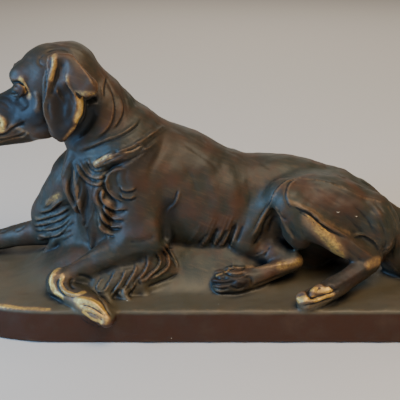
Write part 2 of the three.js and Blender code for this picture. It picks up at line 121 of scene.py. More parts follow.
def limb(*stations):
    # Stations of x, y, z, half width across the view and half height; a round limb has one
    # radius for both.
    steps = 4
    path = smooth_path([s[:3] for s in stations], steps).astype(np.float32)
    ends = np.array([(s[3], s[-1]) for s in stations], np.float32)
    place = np.arange(len(path)) / steps
    part = np.minimum(place.astype(int), len(stations) - 2)
    t = (place - part)[:, None]
    sizes = (ends[part] + (ends[part + 1] - ends[part]) * t * t * (3 - 2 * t)).astype(np.float32)

    def distance(points):
        best = np.full(len(points), FAR, np.float32)
        for a, b, (w0, h0), (w1, h1) in zip(path, path[1:], sizes, sizes[1:]):
            along = b - a
            q = points - a
            t = np.clip(q @ along / (along @ along), 0, 1)
            w, h = w0 + (w1 - w0) * t, h0 + (h1 - h0) * t
            q -= t[:, None] * along
            flat = (q[:, 0] ** 2 + q[:, 2] ** 2) / h ** 2
            across = q[:, 1] ** 2 / w ** 2
            k0 = np.sqrt(flat + across)
            k1 = np.sqrt(flat / h ** 2 + across / w ** 2)
            best = np.minimum(best, np.where(k1 < TINY, -w, k0 * (k0 - 1) / np.maximum(k1, TINY)))
        return best

    reach = ends.max()
    return distance, path.min(0) - reach, path.max(0) + reach


def lock(radius, *points):
    # A lock of hair thins out to its tip.
    last = len(points) - 1
    return limb(*[(*p, radius * (1 - 0.75 * (i / last) ** 1.5)) for i, p in enumerate(points)])


# The plinth is a slab with one broad rounded end, a worn upper edge and a bevelled foot. The
# ground on it swells up by MOUND and banks up by BANK. Each slope is given by where it starts
# and how far it runs, the mound's as shares of its reach. Because the ground slants, points
# are nearer to it than to the place straight under them, by SLANT.
PLINTH = (610, 200, 40)
PLINTH_EDGE = 4
PLINTH_FOOT = 3
FRONT_END = 154
REAR_END = 72
MOUND = 10
MOUND_MIDDLE = (20, 16)
MOUND_REACH = (PLINTH[0] * 0.46, PLINTH[1] * 0.5)
MOUND_SLOPE = (0.25, 0.7)
BANK = 34
BANK_ALONG = ((-215, 90), (96, 55))
BANK_ACROSS = ((-66, 50), (88, 58))
SLANT = 0.85


def ease(t):
    t = np.clip(t, 0, 1)
    return t * t * (3 - 2 * t)


def plinth(points, z):
    x, y = points[:, 0], points[:, 1]
    half, deep = PLINTH[0] / 2, PLINTH[1] / 2
    end = np.where(x < 0, FRONT_END, REAR_END)
    turn = np.where(x < 0, deep, REAR_END)
    ex = np.maximum((np.abs(x) - (half - end)) / end, 0)
    ey = np.maximum(np.abs(y) - (deep - turn), 0) / turn
    k0 = np.hypot(ex, ey)
    round_end = k0 * (k0 - 1) / np.maximum(np.hypot(ex / end, ey / turn), 1e-9)
    side = np.where(ex > 0, round_end, np.abs(y) - deep)
    a, b = side + PLINTH_EDGE, z - PLINTH[2] + PLINTH_EDGE
    worn = (np.minimum(np.maximum(a, b), 0) + np.hypot(np.maximum(a, 0), np.maximum(b, 0))
            - PLINTH_EDGE)
    return np.maximum(worn, (side - z + PLINTH_FOOT) * math.sqrt(0.5))


def ground(points):
    # The ground swells up under the dog, banks up against its breast and belly, and runs out
    # before the plinth's edge.
    x, y, z = points.T
    r = np.hypot((x - MOUND_MIDDLE[0]) / MOUND_REACH[0], (y - MOUND_MIDDLE[1]) / MOUND_REACH[1])
    swell = MOUND * (1 - ease((r - MOUND_SLOPE[0]) / MOUND_SLOPE[1]))
    bank = BANK
    for place, ((rise, up), (fall, down)) in ((x, BANK_ALONG), (y, BANK_ACROSS)):
        bank = bank * ease((place - rise) / up) * ease((fall - place) / down)
    return np.where(swell + bank > 0, (z - PLINTH[2] - (swell + bank)) * SLANT, FAR)


# Trunk and neck
add(1, limb((-60, 15, 104, 45, 61), (-30, 15, 96, 49, 71), (8, 16, 79, 50, 68),
            (46, 17, 71, 45, 65), (92, 17, 70, 40, 65), (136, 16, 66, 42, 56),
            (164, 14, 62, 42, 48), (184, 12, 56, 38, 38)))
add(5, lump((-100, -22, 40), (18, 14, 18)))
add(5, lump((-103, -24, 72), (17, 13, 24)))
add(5, limb((-125, 14, 24, 26, 30), (0, 16, 20, 32, 30), (125, 18, 20, 32, 28)))
add(14, limb((-138, 6, 210, 31, 38), (-121, 8, 192, 34, 43), (-106, 11, 169, 38, 47),
             (-84, 13, 144, 44, 53), (-58, 15, 118, 46, 56)))
add(14, lump((-118, 6, 112), (29, 36, 48), 8))
add(12, lump((-112, 3, 62), (25, 27, 46), 6))
add(14, lump((-98, 12, 28), (42, 34, 44)))

# Skull, brows, cheeks, muzzle, lips, lower jaw and nose
add(10, lump((-157, 5, 225), (41, 33, 40)))
add(10, lump((-138, 7, 226), (31, 31, 39)))
add(8, lump((-188, -8, 233), (15, 12, 13)))
add(8, lump((-188, 20, 231), (15, 12, 13)))
add(10, lump((-170, -13, 190), (24, 19, 26)))
add(10, lump((-170, 23, 189), (24, 18, 26)))
add(9, limb((-182, 4, 206, 18, 20), (-214, 0, 193, 15, 17), (-245, -5, 183, 12, 13)))
add(9, limb((-180, 4, 188, 25, 25), (-212, 0, 178, 22, 23), (-238, -4, 171, 15, 18)))
add(6, limb((-160, 5, 176, 20, 13), (-190, 3, 168, 18, 11), (-216, 0, 163, 15, 9),
            (-236, -4, 159, 10, 7)))
add(4, lump((-256, -6, 186), (9, 11, 9)))

# Eyes, each a ball in its socket
cut(4, lump((-193, -22, 221), (9, 7, 6)))
cut(4, lump((-193, 24, 221), (9, 7, 6)))
add(1, lump((-189, -17, 221), (8, 8, 7)))
add(1, lump((-189, 19, 221), (8, 8, 7)))

# Far ear
add(5, limb((-146, 38, 236, 7, 13), (-148, 45, 212, 6, 15), (-147, 46, 190, 6, 15),
            (-145, 44, 170, 6, 11), (-144, 42, 158, 5, 6)))
add(5, limb((-138, 38, 234, 7, 12), (-128, 44, 220, 6, 12), (-120, 46, 210, 6, 10)))

# Near foreleg, with the paw that hangs over the plinth's edge
add(16, lump((-78, -18, 116), (35, 25, 54), 6))
add(12, lump((-66, -29, 68), (28, 21, 38)))
add(10, limb((-54, -34, 58, 20, 23), (-76, -38, 52, 18, 20), (-101, -45, 38, 15, 16.5),
             (-122, -52, 29, 13, 13.5), (-140, -58, 21, 12, 12.5), (-153, -62, 15, 13, 15)))
add(5, limb((-154, -63, 13, 13, 14), (-141, -75, 9, 13, 12), (-124, -87, 5, 15, 12),
            (-109, -97, 0, 15, 12), (-99, -104, -6, 13, 10)))

# Far foreleg and shoulder
add(14, lump((-84, 42, 112), (34, 24, 54), 6))
add(12, lump((-143, 28, 100), (30, 25, 47), -20))
add(10, lump((-138, 22, 38), (30, 22, 34)))
add(10, lump((-162, 34, 78), (25, 20, 34), -30))
add(8, lump((-175, 38, 53), (25, 20, 28), -10))
add(8, limb((-172, 40, 32, 18, 17), (-205, 45, 26, 14, 15), (-238, 49, 17, 12, 12),
            (-256, 49, 13, 12, 12)))
add(5, limb((-258, 48, 12, 12, 12), (-272, 39, 9, 14, 10), (-284, 30, 7, 13, 9)))

# Near hind leg
add(12, lump((147, -18, 87), (62, 30, 34), -17))
add(12, lump((194, -22, 62), (25, 24, 40)))
add(10, limb((98, -34, 96, 20, 22), (122, -42, 79, 16, 19), (148, -47, 60, 13, 15),
             (172, -48, 45, 11, 13), (187, -46, 33, 10, 12)))
add(5, limb((187, -46, 32, 10, 12), (160, -65, 20, 9, 12), (137, -79, 12, 12, 12),
            (122, -87, 9, 13, 12), (113, -92, 8, 12, 10)))

# Far hind leg: its thigh lies flat on the ground and its foot comes out under the belly
add(16, lump((134, 38, 46), (60, 30, 42)))
add(10, limb((50, -6, 32, 20, 22), (80, -22, 32, 16, 17), (102, -34, 28, 11, 12)))
add(5, limb((104, -36, 27, 9, 10), (82, -45, 21, 9, 10), (57, -53, 15, 10, 11),
            (38, -57, 13, 13, 13), (24, -58, 12, 13, 11)))

# Tail
add(10, limb((200, 8, 70, 14, 17), (226, 4, 58, 13, 16), (250, -6, 38, 12, 17),
             (264, -26, 20, 11, 16), (262, -58, 12, 10, 11), (244, -82, 7, 7, 7)))
add(8, lump((222, -10, 26), (20, 14, 34), 22))

# Folds of skin at the near knee and from it to the flank
add(10, lump((105, -36, 69), (17, 15, 27), 24))
add(14, limb((90, -24, 104, 8, 14), (74, -26, 84, 7, 12), (60, -28, 64, 7, 11),
             (50, -28, 46, 6, 10)))

# Creases before the knee, behind the near arm and along the mouth
cut(8, limb((84, -38, 86, 7, 7), (79, -36, 68, 8, 8), (70, -34, 52, 8, 7)))
cut(8, limb((-38, -44, 122, 5, 3), (-37, -46, 92, 8, 5), (-38, -46, 60, 8, 5)))
cut(3, limb((-190, -26, 185, 5, 3), (-212, -26, 173, 4, 2.5), (-238, -22, 163, 4, 2.5)))
cut(3, limb((-190, 32, 185, 5, 3), (-212, 25, 173, 4, 2.5), (-238, 17, 163, 4, 2.5)))

# Hair down the breast, around the neck and on the near shoulder
add(5, lock(9, (-139, -10, 142), (-146, -13, 114), (-136, -18, 80)))
add(5, lock(9, (-128, -18, 134), (-132, -23, 104), (-126, -26, 68)))
add(5, lock(9, (-117, -22, 114), (-117, -28, 80), (-121, -26, 42)))
add(5, lock(8, (-106, -22, 84), (-108, -27, 58), (-112, -26, 30)))
add(5, lock(8, (-103, -30, 130), (-111, -35, 106), (-105, -37, 82)))
add(5, lock(8, (-100, -34, 98), (-107, -37, 78), (-98, -41, 60)))
add(5, lock(8, (-62, -12, 160), (-84, -28, 151), (-106, -29, 143), (-122, -26, 142)))
add(5, lock(7, (-56, -6, 172), (-80, -24, 165), (-100, -26, 158)))

# Hair: a web from the near forearm to the ground, and its tips
add(12, limb((-124, -60, 3, 12, 12), (-100, -56, 4, 16, 20), (-77, -49, 5, 17, 30),
             (-56, -38, 8, 14, 34)))
add(6, lock(7, (-112, -62, 10), (-104, -71, 5), (-97, -79, 1)))
add(6, lock(7, (-92, -60, 13), (-85, -69, 6), (-78, -76, 1)))
add(6, lock(7, (-73, -52, 20), (-66, -58, 10), (-60, -63, 2)))
add(6, lock(7, (-55, -42, 28), (-43, -45, 16), (-35, -48, 4)))

# Hair under the belly, at the far elbow, on the breech and on the tail
add(5, lock(8, (-158, 20, 62), (-172, 18, 42), (-190, 24, 28)))
add(5, lock(8, (-160, 18, 46), (-170, 16, 28), (-182, 22, 14)))
add(5, lock(10, (194, -36, 82), (206, -37, 58), (203, -34, 28)))
add(5, lock(9, (210, -24, 76), (221, -24, 52), (222, -22, 22)))
add(12, lump((240, -18, 20), (20, 18, 22), 10))
add(5, lock(9, (238, -14, 38), (238, -28, 20), (230, -40, 3)))
add(5, lock(9, (254, -22, 26), (252, -38, 13), (242, -52, 2)))

# Near ear: what it lies on, the front leaf, the flap folded back and the leaf under it, with
# a hollow behind them
add(6, lump((-143, -26, 208), (15, 12, 36)))
add(4, limb((-146, -31, 251, 6, 12), (-148, -38, 228, 5, 15), (-149, -40, 204, 5, 15),
            (-147, -40, 185, 5, 12), (-146, -38, 175, 5, 6)))
add(4, limb((-138, -31, 250, 6, 12), (-127, -38, 239, 6, 12), (-116, -42, 229, 5, 11)))
add(4, limb((-134, -35, 222, 6, 12), (-132, -38, 204, 6, 11), (-139, -39, 187, 5, 9)))
cut(5, limb((-108, -40, 216, 7, 3), (-112, -37, 204, 9, 8), (-118, -33, 190, 9, 10),
            (-130, -30, 177, 8, 7), (-144, -27, 166, 6, 4)))

# Where the dog meets the ground it is blended in, and far from it no form of it counts.
DOG_FILLET = 5
DOG_FAR = 60


def statue_distance(points):
    # Distance of points to the finished clay. The ground stays within the plinth's outline,
    # and the dog is measured from the plinth's top.
    z = points[:, 2]
    slab = plinth(points, z)
    d = np.maximum(np.minimum(slab, ground(points)), plinth(points, np.minimum(z, PLINTH[2] / 2)))
    dog_points = points - np.array([0, 0, PLINTH[2]], np.float32)
    body = np.full(len(points), DOG_FAR, np.float32)
    for fillet, (distance, low, top), added in clay:
        reach = fillet + BAND
        near = np.flatnonzero(((dog_points > low - reach) & (dog_points < top + reach)).all(1))
        form = distance(dog_points[near])
        if added:
            body[near] = soften(body[near], form, fillet)
        else:
            body[near] = -soften(-body[near], form, fillet)
    return np.maximum(soften(d, body, DOG_FILLET), -z)


# Casting: the clay's surface is found on a grid, first in blocks of four cells and then, in
# the blocks it passes through, at every grid point. The grid has a margin round the plinth,
# a wider one before it for the paw that hangs over, and ends above the dog's head. Away from
# the surface a grid point is only SOLID or AIR.
MARGIN = 6
PAW_MARGIN = 26
HEAD_CLEAR = 318
SOLID, AIR = -9, 9
BLOCK = 4
COARSE = BLOCK * GRID
LOW = np.array([-PLINTH[0] / 2 - MARGIN, -PLINTH[1] / 2 - PAW_MARGIN, -1.5 * GRID])
TOP = np.array([PLINTH[0] / 2 + MARGIN, PLINTH[1] / 2 + MARGIN, HEAD_CLEAR])
blocks = np.ceil((TOP - LOW) / COARSE).astype(int)
nodes = tuple(BLOCK * blocks + 1)


def grid_points(index, step):
    return (LOW + np.stack(index, 1) * step).astype(np.float32)


def in_cells(values):
    # A value for each block, given to each of its cells.
    return values.repeat(BLOCK, 0).repeat(BLOCK, 1).repeat(BLOCK, 2)


index = np.indices(tuple(blocks)).reshape(3, -1)
block_distance = statue_distance(grid_points(index + 0.5, COARSE)).reshape(blocks)
depth = np.zeros(nodes, np.float32)
depth[:-1, :-1, :-1] = in_cells(np.where(block_distance < 0, SOLID, AIR))
depth[-1], depth[:, -1], depth[:, :, -1] = AIR, AIR, AIR
wanted = np.zeros(nodes, bool)
wanted[:-1, :-1, :-1] = in_cells(np.abs(block_distance) < COARSE)
for axis in range(3):
    wanted |= np.roll(wanted, 1, axis)
index = np.nonzero(wanted)
depth[index] = statue_distance(grid_points(index, GRID))

# A cell's corners are numbered in bits. A cell is tangled where two sheets of the surface meet
# in it, and is then filled by a corner, just enough to part them.
CORNERS = np.array([(i & 1, i >> 1 & 1, i >> 2) for i in range(8)])
FILLED_BY = 0.05 * GRID


def is_tangled(bits):
    full = [bits >> i & 1 for i in range(8)]
    for side in (0, 1):
        left = {i for i in range(8) if full[i] == side}
        stack = [left.pop()] if left else []
        while stack:
            i = stack.pop()
            for j in (i ^ 1, i ^ 2, i ^ 4):
                if j in left:
                    left.remove(j)
                    stack.append(j)
        if left:
            return True
    for p, q in ((1, 2), (1, 4), (2, 4)):
        for i in (0, 7 ^ p ^ q):
            if full[i] == full[i ^ p ^ q] != full[i ^ p] == full[i ^ q]:
                return True
    return False


tangled = np.array([is_tangled(bits) for bits in range(256)])


def crossed_cells(inside):
    # The cells with clay at some of their corners and air at the others.
    count = np.zeros(tuple(np.array(inside.shape) - 1), np.uint8)
    n = count.shape
    for a, b, c in CORNERS:
        count += inside[a:a + n[0], b:b + n[1], c:c + n[2]]
    return np.stack(np.nonzero((count > 0) & (count < 8)), 1)


while True:
    inside = depth < 0
    cells = crossed_cells(inside)
    corner_index = cells[:, None, :] + CORNERS
    corner_depth = depth[tuple(corner_index.transpose(2, 0, 1))]
    bits = ((corner_depth < 0) << np.arange(8)).sum(1)
    knots = np.flatnonzero(tangled[bits])
    if not len(knots):
        break
    empty = np.where(corner_depth[knots] < 0, FAR, corner_depth[knots]).argmin(1)
    depth[tuple(corner_index[knots, empty].T)] = -FILLED_BY

# The skin has one point in each crossed cell, amid the places where the clay's surface cuts
# the cell's edges, and a four-sided face across each edge of the grid that it cuts.
total, count = np.zeros((len(cells), 3)), np.zeros(len(cells))
for i in range(8):
    for bit in (1, 2, 4):
        if i & bit:
            continue
        da, db = corner_depth[:, i], corner_depth[:, i | bit]
        crossing = (da < 0) != (db < 0)
        t = np.where(crossing, da / np.where(crossing, da - db, 1), 0)[:, None]
        total += np.where(crossing[:, None], CORNERS[i] + t * (CORNERS[i | bit] - CORNERS[i]), 0)
        count += crossing
skin = LOW + (cells + total / count[:, None]) * GRID

number = np.full(tuple(np.array(nodes) - 1), -1, np.int32)
number[tuple(cells.T)] = np.arange(len(cells))
rings = []
for axis in range(3):
    here = np.moveaxis(inside, axis, 0)
    change = np.stack(np.nonzero(here[:-1, 1:-1, 1:-1] != here[1:, 1:-1, 1:-1]), 1) + [0, 1, 1]
    clay_before = here[tuple(change.T)]
    lines = np.moveaxis(number, axis, 0)
    i, j, k = change.T
    ring = np.stack([lines[i, j - 1, k - 1], lines[i, j, k - 1],
                     lines[i, j, k], lines[i, j - 1, k]], 1)
    # The second axis runs the other way round the first when the moved axis was the middle one.
    flip = clay_before if axis == 1 else ~clay_before
    ring[flip] = ring[flip][:, ::-1]
    rings.append(ring)
rings = np.concatenate(rings)

# A pocket that forms have closed in between them has a skin of its own, which is left out.
shell = np.arange(len(skin))
while True:
    least = shell[rings].min(1)
    before = shell.copy()
    for i in range(4):
        np.minimum.at(shell, rings[:, i], least)
    shell = shell[shell]
    if (shell == before).all():
        break
kept = shell == shell[skin[:, 0].argmin()]
rings = (np.cumsum(kept) - 1)[rings[kept[rings[:, 0]]]]
skin = skin[kept]

# Carving: strokes drawn on the clay press it in or raise it. A stroke on the near side is
# drawn in the picture, in its pixels, and one on another side in a plan of that side, in
# millimetres. Each point is the place where the line of sight meets the clay. Strokes on the
# head are mirrored in its own middle plane, because it is turned a little. A line that jumps
# by more than SLIP has left its form, a stroke needs FEWEST points, and it takes hold of clay
# that lies up to SLACK further off the surface than the stroke is wide. Between two drawn
# points the line is followed in FINE steps.
HEAD_MIDDLE = Vector((-157, 5, 0))
HEAD_ACROSS = Vector((-0.109, 0.994, 0))
BEHIND = 300
OUTSIDE = 500
SLIP = 16
FEWEST = 4
SLACK = 3
FINE = 6


def facing_of(points):
    # The way the skin faces at each of its points.
    spans = points[rings]
    facing = np.cross(spans[:, 2] - spans[:, 0], spans[:, 3] - spans[:, 1])
    total = np.zeros_like(points)
    for i in range(4):
        np.add.at(total, rings[:, i], facing)
    return total / np.maximum(np.linalg.norm(total, axis=1), 1e-9)[:, None]


surface = BVHTree.FromPolygons(skin.tolist(), rings.tolist())
outward = facing_of(skin)
raised = np.zeros(len(skin))


def line_of_sight(view, u, v):
    if view == "far side":
        return (u, BEHIND, v), (0, -1, 0)
    if view == "head end":
        return (-OUTSIDE, u, v), (1, 0, 0)
    if view == "tail end":
        return (OUTSIDE, u, v), (-1, 0, 0)
    if view == "top":
        return (u, v, OUTSIDE), (0, 0, -1)
    across, up = (u - PICTURE / 2) / FOCAL, (PICTURE / 2 - v) / FOCAL
    return EYE, (across, math.cos(PITCH) + up * math.sin(PITCH),
                 up * math.cos(PITCH) - math.sin(PITCH))


def touch(points, view, mirrored):
    # The places where drawn points meet the clay, and the way it faces there, evened out along
    # the line. Where the line slips off onto another form, its longest part is kept.
    runs = [[]]
    for u, v in smooth_path(points, FINE):
        origin, direction = line_of_sight(view, u, v)
        place, face = surface.ray_cast(Vector(origin), Vector(direction))[:2]
        if place is None:
            continue
        if runs[-1] and (place - runs[-1][-1][0]).length > SLIP:
            runs.append([])
        runs[-1].append((place, face))
    places = [place for place, face in max(runs, key=len)]
    faces = [face for place, face in max(runs, key=len)]
    if mirrored:
        for i, place in enumerate(places):
            flipped = place - 2 * (place - HEAD_MIDDLE).dot(HEAD_ACROSS) * HEAD_ACROSS
            places[i], faces[i] = surface.find_nearest(flipped)[:2]
    places, faces = np.array(places), np.array(faces)
    if len(places) < FEWEST:
        return places, faces
    soft = faces.copy()
    for shift in (1, 2, 3):
        soft[shift:] += faces[:-shift]
        soft[:-shift] += faces[shift:]
    return places, soft / np.linalg.norm(soft, axis=1)[:, None]


def close_to(places, reach):
    low, top = places.min(0) - reach, places.max(0) + reach
    return np.flatnonzero(((skin > low) & (skin < top)).all(1))


def stroke(shape, width, points, view="picture", mirrored=False):
    # Moves the clay within a width of the line by shape(across, along); across runs from -1
    # to 1 and is positive on the line's left, and along runs from 0 to 1.
    places, faces = touch(points, view, mirrored)
    if len(places) < FEWEST:
        return
    ahead = np.gradient(places, axis=0)
    step = np.linalg.norm(ahead, axis=1)
    ahead /= step[:, None]
    aside = np.cross(faces, ahead)
    aside /= np.linalg.norm(aside, axis=1)[:, None]
    if mirrored:
        aside = -aside
    run = np.concatenate([[0], np.cumsum(np.linalg.norm(np.diff(places, axis=0), axis=1))])
    near = close_to(places, width)
    if not len(near):
        return
    apart = skin[near][:, None] - places
    closest = (apart ** 2).sum(2).argmin(1)
    offset = apart[np.arange(len(near)), closest]
    across = (offset * aside[closest]).sum(1) / width
    along = (run[closest] + (offset * ahead[closest]).sum(1)) / run[-1]
    height = (offset * faces[closest]).sum(1)
    alike = (outward[near] * faces[closest]).sum(1) > 0
    held = alike & (np.abs(across) < 1) & (along > 0) & (along < 1)
    held &= np.abs(height) < width + SLACK
    raised[near[held]] += shape(across[held], along[held])


def ends(along, fade=0.25):
    return ease(np.minimum(along, 1 - along) / fade)


def drawn(shape, width, points, both=False, view="picture"):
    stroke(shape, width, points, view)
    if both:
        stroke(shape, width, points, view, True)


def ridge(width, height, *points, **options):
    drawn(lambda s, t: height * (1 - s * s) ** 2 * ends(t), width, points, **options)


def groove(width, depth, *points, **options):
    drawn(lambda s, t: -depth * (1 - s * s) ** 2 * ends(t), width, points, **options)


def edge(width, height, *points, **options):
    # A lip on the line's right that drops into a furrow on its left.
    foot, depth_share = 0.3, 0.8

    def lip(s, t):
        drop = np.clip(s / foot, 0, 1)
        furrow = np.clip((s - foot) / (1 - foot), 0, 1)
        left = np.where(s < foot, 1 - (1 + depth_share) * drop, -depth_share * (1 - furrow) ** 2)
        return height * ends(t) * np.where(s < 0, (1 + s) ** 2, left)
    drawn(lip, width, points, **options)


def tuft(width, height, strands, *points, **options):
    # A lock of hair, from its root to its tip, with furrows between the strands. It narrows
    # and rises on the way, and its tip is round.
    def hair(s, t):
        s = s / (1 - 0.6 * t * t)
        tip = np.sqrt(1 - np.clip(t * 5 - 4, 0, 1) ** 2)
        body = (1 - np.minimum(s * s, 1)) * (0.35 + 0.65 * t) * tip
        combed = 0.7 + 0.3 * np.cos(math.pi * strands * (s + 0.15))
        return height * ease(t / 0.2) * np.where(np.abs(s) < 1, body * combed, 0)
    drawn(hair, width, points, **options)


# Near ear: its outline, the rolled front rim, the flap folded over and the hollow leaf
edge(5, 1.7, (60, 141), (53, 133), (48, 124), (44, 113), (44, 103), (47, 92), (48, 80), (48, 60),
     (50, 53), both=True)
edge(5, 1.4, (50, 53), (65, 52), (78, 63), (92, 82), (98, 94), both=True)
edge(6, 2.4, (98, 95), (92, 97), (86, 101), both=True)
groove(4, 4.5, (85, 104), (91, 101), (98, 99), both=True)
edge(6, 2.2, (86, 100), (85, 110), (83, 118), (80, 122), (72, 131), (62, 140), both=True)
groove(7, 3, (91, 103), (91, 115), (87, 125), (78, 134), (66, 141), both=True)
ridge(3.6, 2.2, (54, 54), (54, 65), (52, 74), (50, 82), both=True)
groove(8, 3, (61, 56), (61, 68), (58, 80), (54, 92), both=True)
groove(4, 2.2, (57, 64), (56, 76), (53, 86), (50, 100), both=True)
groove(3, 1, (49, 100), (48, 110), (51, 122), both=True)
edge(4.5, 1.9, (75, 115), (76, 103), (74, 94), (70, 88), (67, 82), (66, 71), both=True)
ridge(2.2, 1.5, (56.5, 88), (58, 95), (61, 100), (65, 104), both=True)
groove(2.2, 1, (59, 88), (61, 94), (64, 99))
groove(13, 4.2, (62, 82), (62, 100), (62, 118), (63, 134), both=True)
groove(4, 1.5, (70, 97), (72, 108), (71, 120), both=True)
ridge(2.5, 0.9, (65, 105), (66, 112), (65, 121))
ridge(3.5, 1.6, (79, 98), (81, 108), (79, 120), both=True)

# Skull, brow, eye, cheek and muzzle
groove(2.2, 1, (46, 55), (41, 57), (39, 61), (41, 65), (46, 64), both=True)
groove(3, 1.2, (43, 55), (51, 50), (64, 50), (76, 57), both=True)
ridge(3, 0.8, (48, 43), (62, 46), (78, 51), (88, 58))
ridge(4, 1.2, (8, 76), (14, 79), (22, 78), (29, 80), both=True)
groove(2.6, 2.4, (7, 83), (13, 83), (20, 83), (25, 87), both=True)
ridge(2.2, 2, (8, 87), (12, 84), (18, 84), (23, 88), both=True)
groove(1.5, 1.2, (9, 88), (13, 86), (18, 86), (22, 89), both=True)
ridge(2, 1.6, (9, 93), (13, 95), (19, 95), (23, 92), both=True)
groove(1.5, 1, (10, 91), (14, 92), (19, 92), both=True)
ridge(2.4, 1.8, (19, 79), (25, 84), (30, 92), both=True)
ridge(2, 1.3, (22, 84), (23, 90), (20, 96), both=True)
groove(9, 2.4, (16, 96), (22, 102), (26, 110), both=True)
ridge(5, 1.7, (35, 90), (38, 101), (37, 112), both=True)
groove(1.8, 0.4, (-8, 96), (3, 96), (10, 99), (15, 105), both=True)
groove(1.8, 0.4, (-8, 102), (2, 102), (8, 106), (13, 113), both=True)
groove(1.8, 0.4, (-6, 108), (2, 108), (9, 112), (18, 117), both=True)
edge(5, 2.2, (29, 119), (20, 122), (11, 127), (5, 132), (-8, 133), (-28, 129), both=True)
ridge(4, 1.6, (-2, 117), (4, 121), (3, 130), both=True)
ridge(2.6, 1.2, (27, 129), (17, 134), (5, 137), (-14, 138), both=True)
ridge(2, 1, (29, 130), (26, 135), (18, 139), both=True)
groove(1.8, 1, (-36, 114), (-33, 107), (-36, 101), both=True)
for form, *drawing in (
        (groove, 2.4, 3, (-14, 228), (-13, 224), (-10, 221)),
        (groove, 2.4, 3, (2, 228), (1, 224), (-2, 221)),
        (groove, 2.2, 1.3, (-17, 219), (-16, 229), (-11, 234), (-1, 234), (4, 229), (5, 219)),
        (groove, 1.6, 1.4, (-6, 223), (-6, 214), (-6, 204)),
        (groove, 2, 1.8, (-19, 198), (-13, 203), (-6, 205), (1, 203), (7, 198))):
    form(*drawing, view="head end")
groove(6, 1.6, (47, 124), (40, 128), (30, 131), both=True)
ridge(7, 1.6, (58, 141), (67, 146), (78, 148))

# Folds of the neck and the collar of longer hair
edge(7, 1.8, (108, 84), (112, 97), (113, 110), (110, 123), (103, 132), (92, 138))
edge(6, 1.5, (117, 92), (122, 104), (121, 115), (116, 124), (108, 131))
edge(7, 2, (141, 116), (134, 126), (122, 134), (106, 140), (92, 146), (76, 151))
edge(6, 1.3, (106, 75), (103, 88), (103, 100))
groove(3, 0.9, (102, 64), (117, 82), (126, 102), (127, 116))
groove(3, 0.8, (109, 71), (125, 89), (133, 106))
groove(3, 0.8, (118, 80), (131, 97), (138, 108))
groove(3, 0.9, (98, 66), (109, 84), (115, 104))
groove(3, 0.8, (96, 76), (100, 94), (98, 112), (92, 126))
groove(3, 0.7, (126, 118), (116, 130), (102, 138), (88, 143))
tuft(5, 3, 2, (165, 125), (159, 130), (152, 134), (147, 137))
tuft(5, 3.6, 2, (155, 131), (148, 137), (141, 142), (135, 144))
tuft(6, 4, 2, (145, 139), (136, 146), (126, 150), (116, 152))
tuft(8, 5, 3, (130, 149), (119, 154), (107, 160), (94, 166))
tuft(4, 3, 2, (159, 140), (153, 145), (147, 149), (142, 150))
tuft(5, 3, 2, (148, 148), (139, 154), (130, 158), (122, 160))
groove(4, 3, (146, 148), (136, 156), (124, 162), (110, 169), (96, 173))
groove(3, 1.4, (142, 140), (134, 148), (122, 151), (110, 152))
edge(5, 2.4, (110, 172), (101, 178), (91, 177), (83, 169), (78, 158))
edge(5, 2.4, (110, 178), (100, 185), (89, 183), (80, 174), (75, 162))
edge(4, 2, (106, 168), (98, 171), (91, 167), (87, 158))

# Breast: columns of wavy locks
tuft(6, 2, 3, (70, 156), (64, 170), (62, 184), (66, 200))
tuft(6, 2.4, 3, (72, 160), (77, 174), (74, 190), (80, 208))
tuft(5, 2, 2, (68, 176), (67, 192), (72, 204), (81, 215))
tuft(6, 2.2, 3, (90, 184), (92, 198), (90, 212), (86, 228))
groove(3.5, 2.5, (84, 178), (86, 196), (84, 214), (86, 232), (90, 244))
groove(3, 1.8, (71, 160), (72, 175), (70, 190), (76, 203))
tuft(4, 2, 2, (84, 184), (81, 198), (85, 210), (82, 224))
tuft(4, 2, 2, (74, 186), (78, 198), (76, 210), (80, 222))
groove(2.4, 1.6, (79, 176), (80, 190), (77, 204), (80, 216))
tuft(5, 1.6, 2, (56, 166), (50, 178), (44, 192), (41, 204))
tuft(5, 1.6, 2, (62, 170), (56, 184), (52, 196), (44, 208))

# Far elbow: hair swept round it in bands, and the edge of the hair above them
edge(6, 2.2, (67, 199), (60, 202), (50, 210), (38, 213))
edge(4.5, 2, (71, 206), (61, 213), (46, 218), (33, 221))
edge(4.5, 2, (72, 212), (62, 219), (47, 224), (32, 226))
edge(4.5, 2, (71, 217), (62, 226), (48, 230), (33, 230))
edge(4.5, 2, (68, 226), (60, 234), (47, 237), (35, 235))
groove(5, 2, (72, 205), (62, 207), (52, 213))
groove(2, 1, (62, 236), (68, 233), (73, 230))
groove(2, 1, (62, 241), (69, 238), (74, 234))
groove(2, 1.2, (66, 228), (71, 225), (75, 222))
groove(2, 1, (8, 229), (14, 226), (18, 222))
groove(2, 1, (14, 232), (21, 229), (26, 225))
groove(2, 1, (-2, 233), (5, 231), (10, 227))

# Near shoulder: tufts like commas, one under the other
edge(8, 4.4, (126, 202), (114, 196), (107, 187), (107, 177), (115, 169), (127, 170))
edge(7, 4.2, (130, 208), (116, 209), (104, 203), (101, 195), (106, 188))
edge(7, 4, (126, 219), (114, 218), (106, 212), (103, 204))
edge(7, 3.8, (124, 227), (112, 226), (103, 220), (99, 211))
edge(5, 2.4, (116, 235), (106, 233), (98, 225))
edge(5, 3, (137, 187), (131, 190), (124, 190), (119, 186))
edge(5, 3, (137, 195), (131, 198), (124, 197), (119, 193))
groove(3, 0.9, (120, 168), (116, 178), (119, 190))
groove(3, 0.8, (128, 168), (125, 178), (129, 186))
groove(6, 1.2, (166, 134), (161, 150), (153, 166), (148, 184))
edge(5, 1.9, (166, 219), (168, 210), (175, 203), (178, 195), (180, 186))

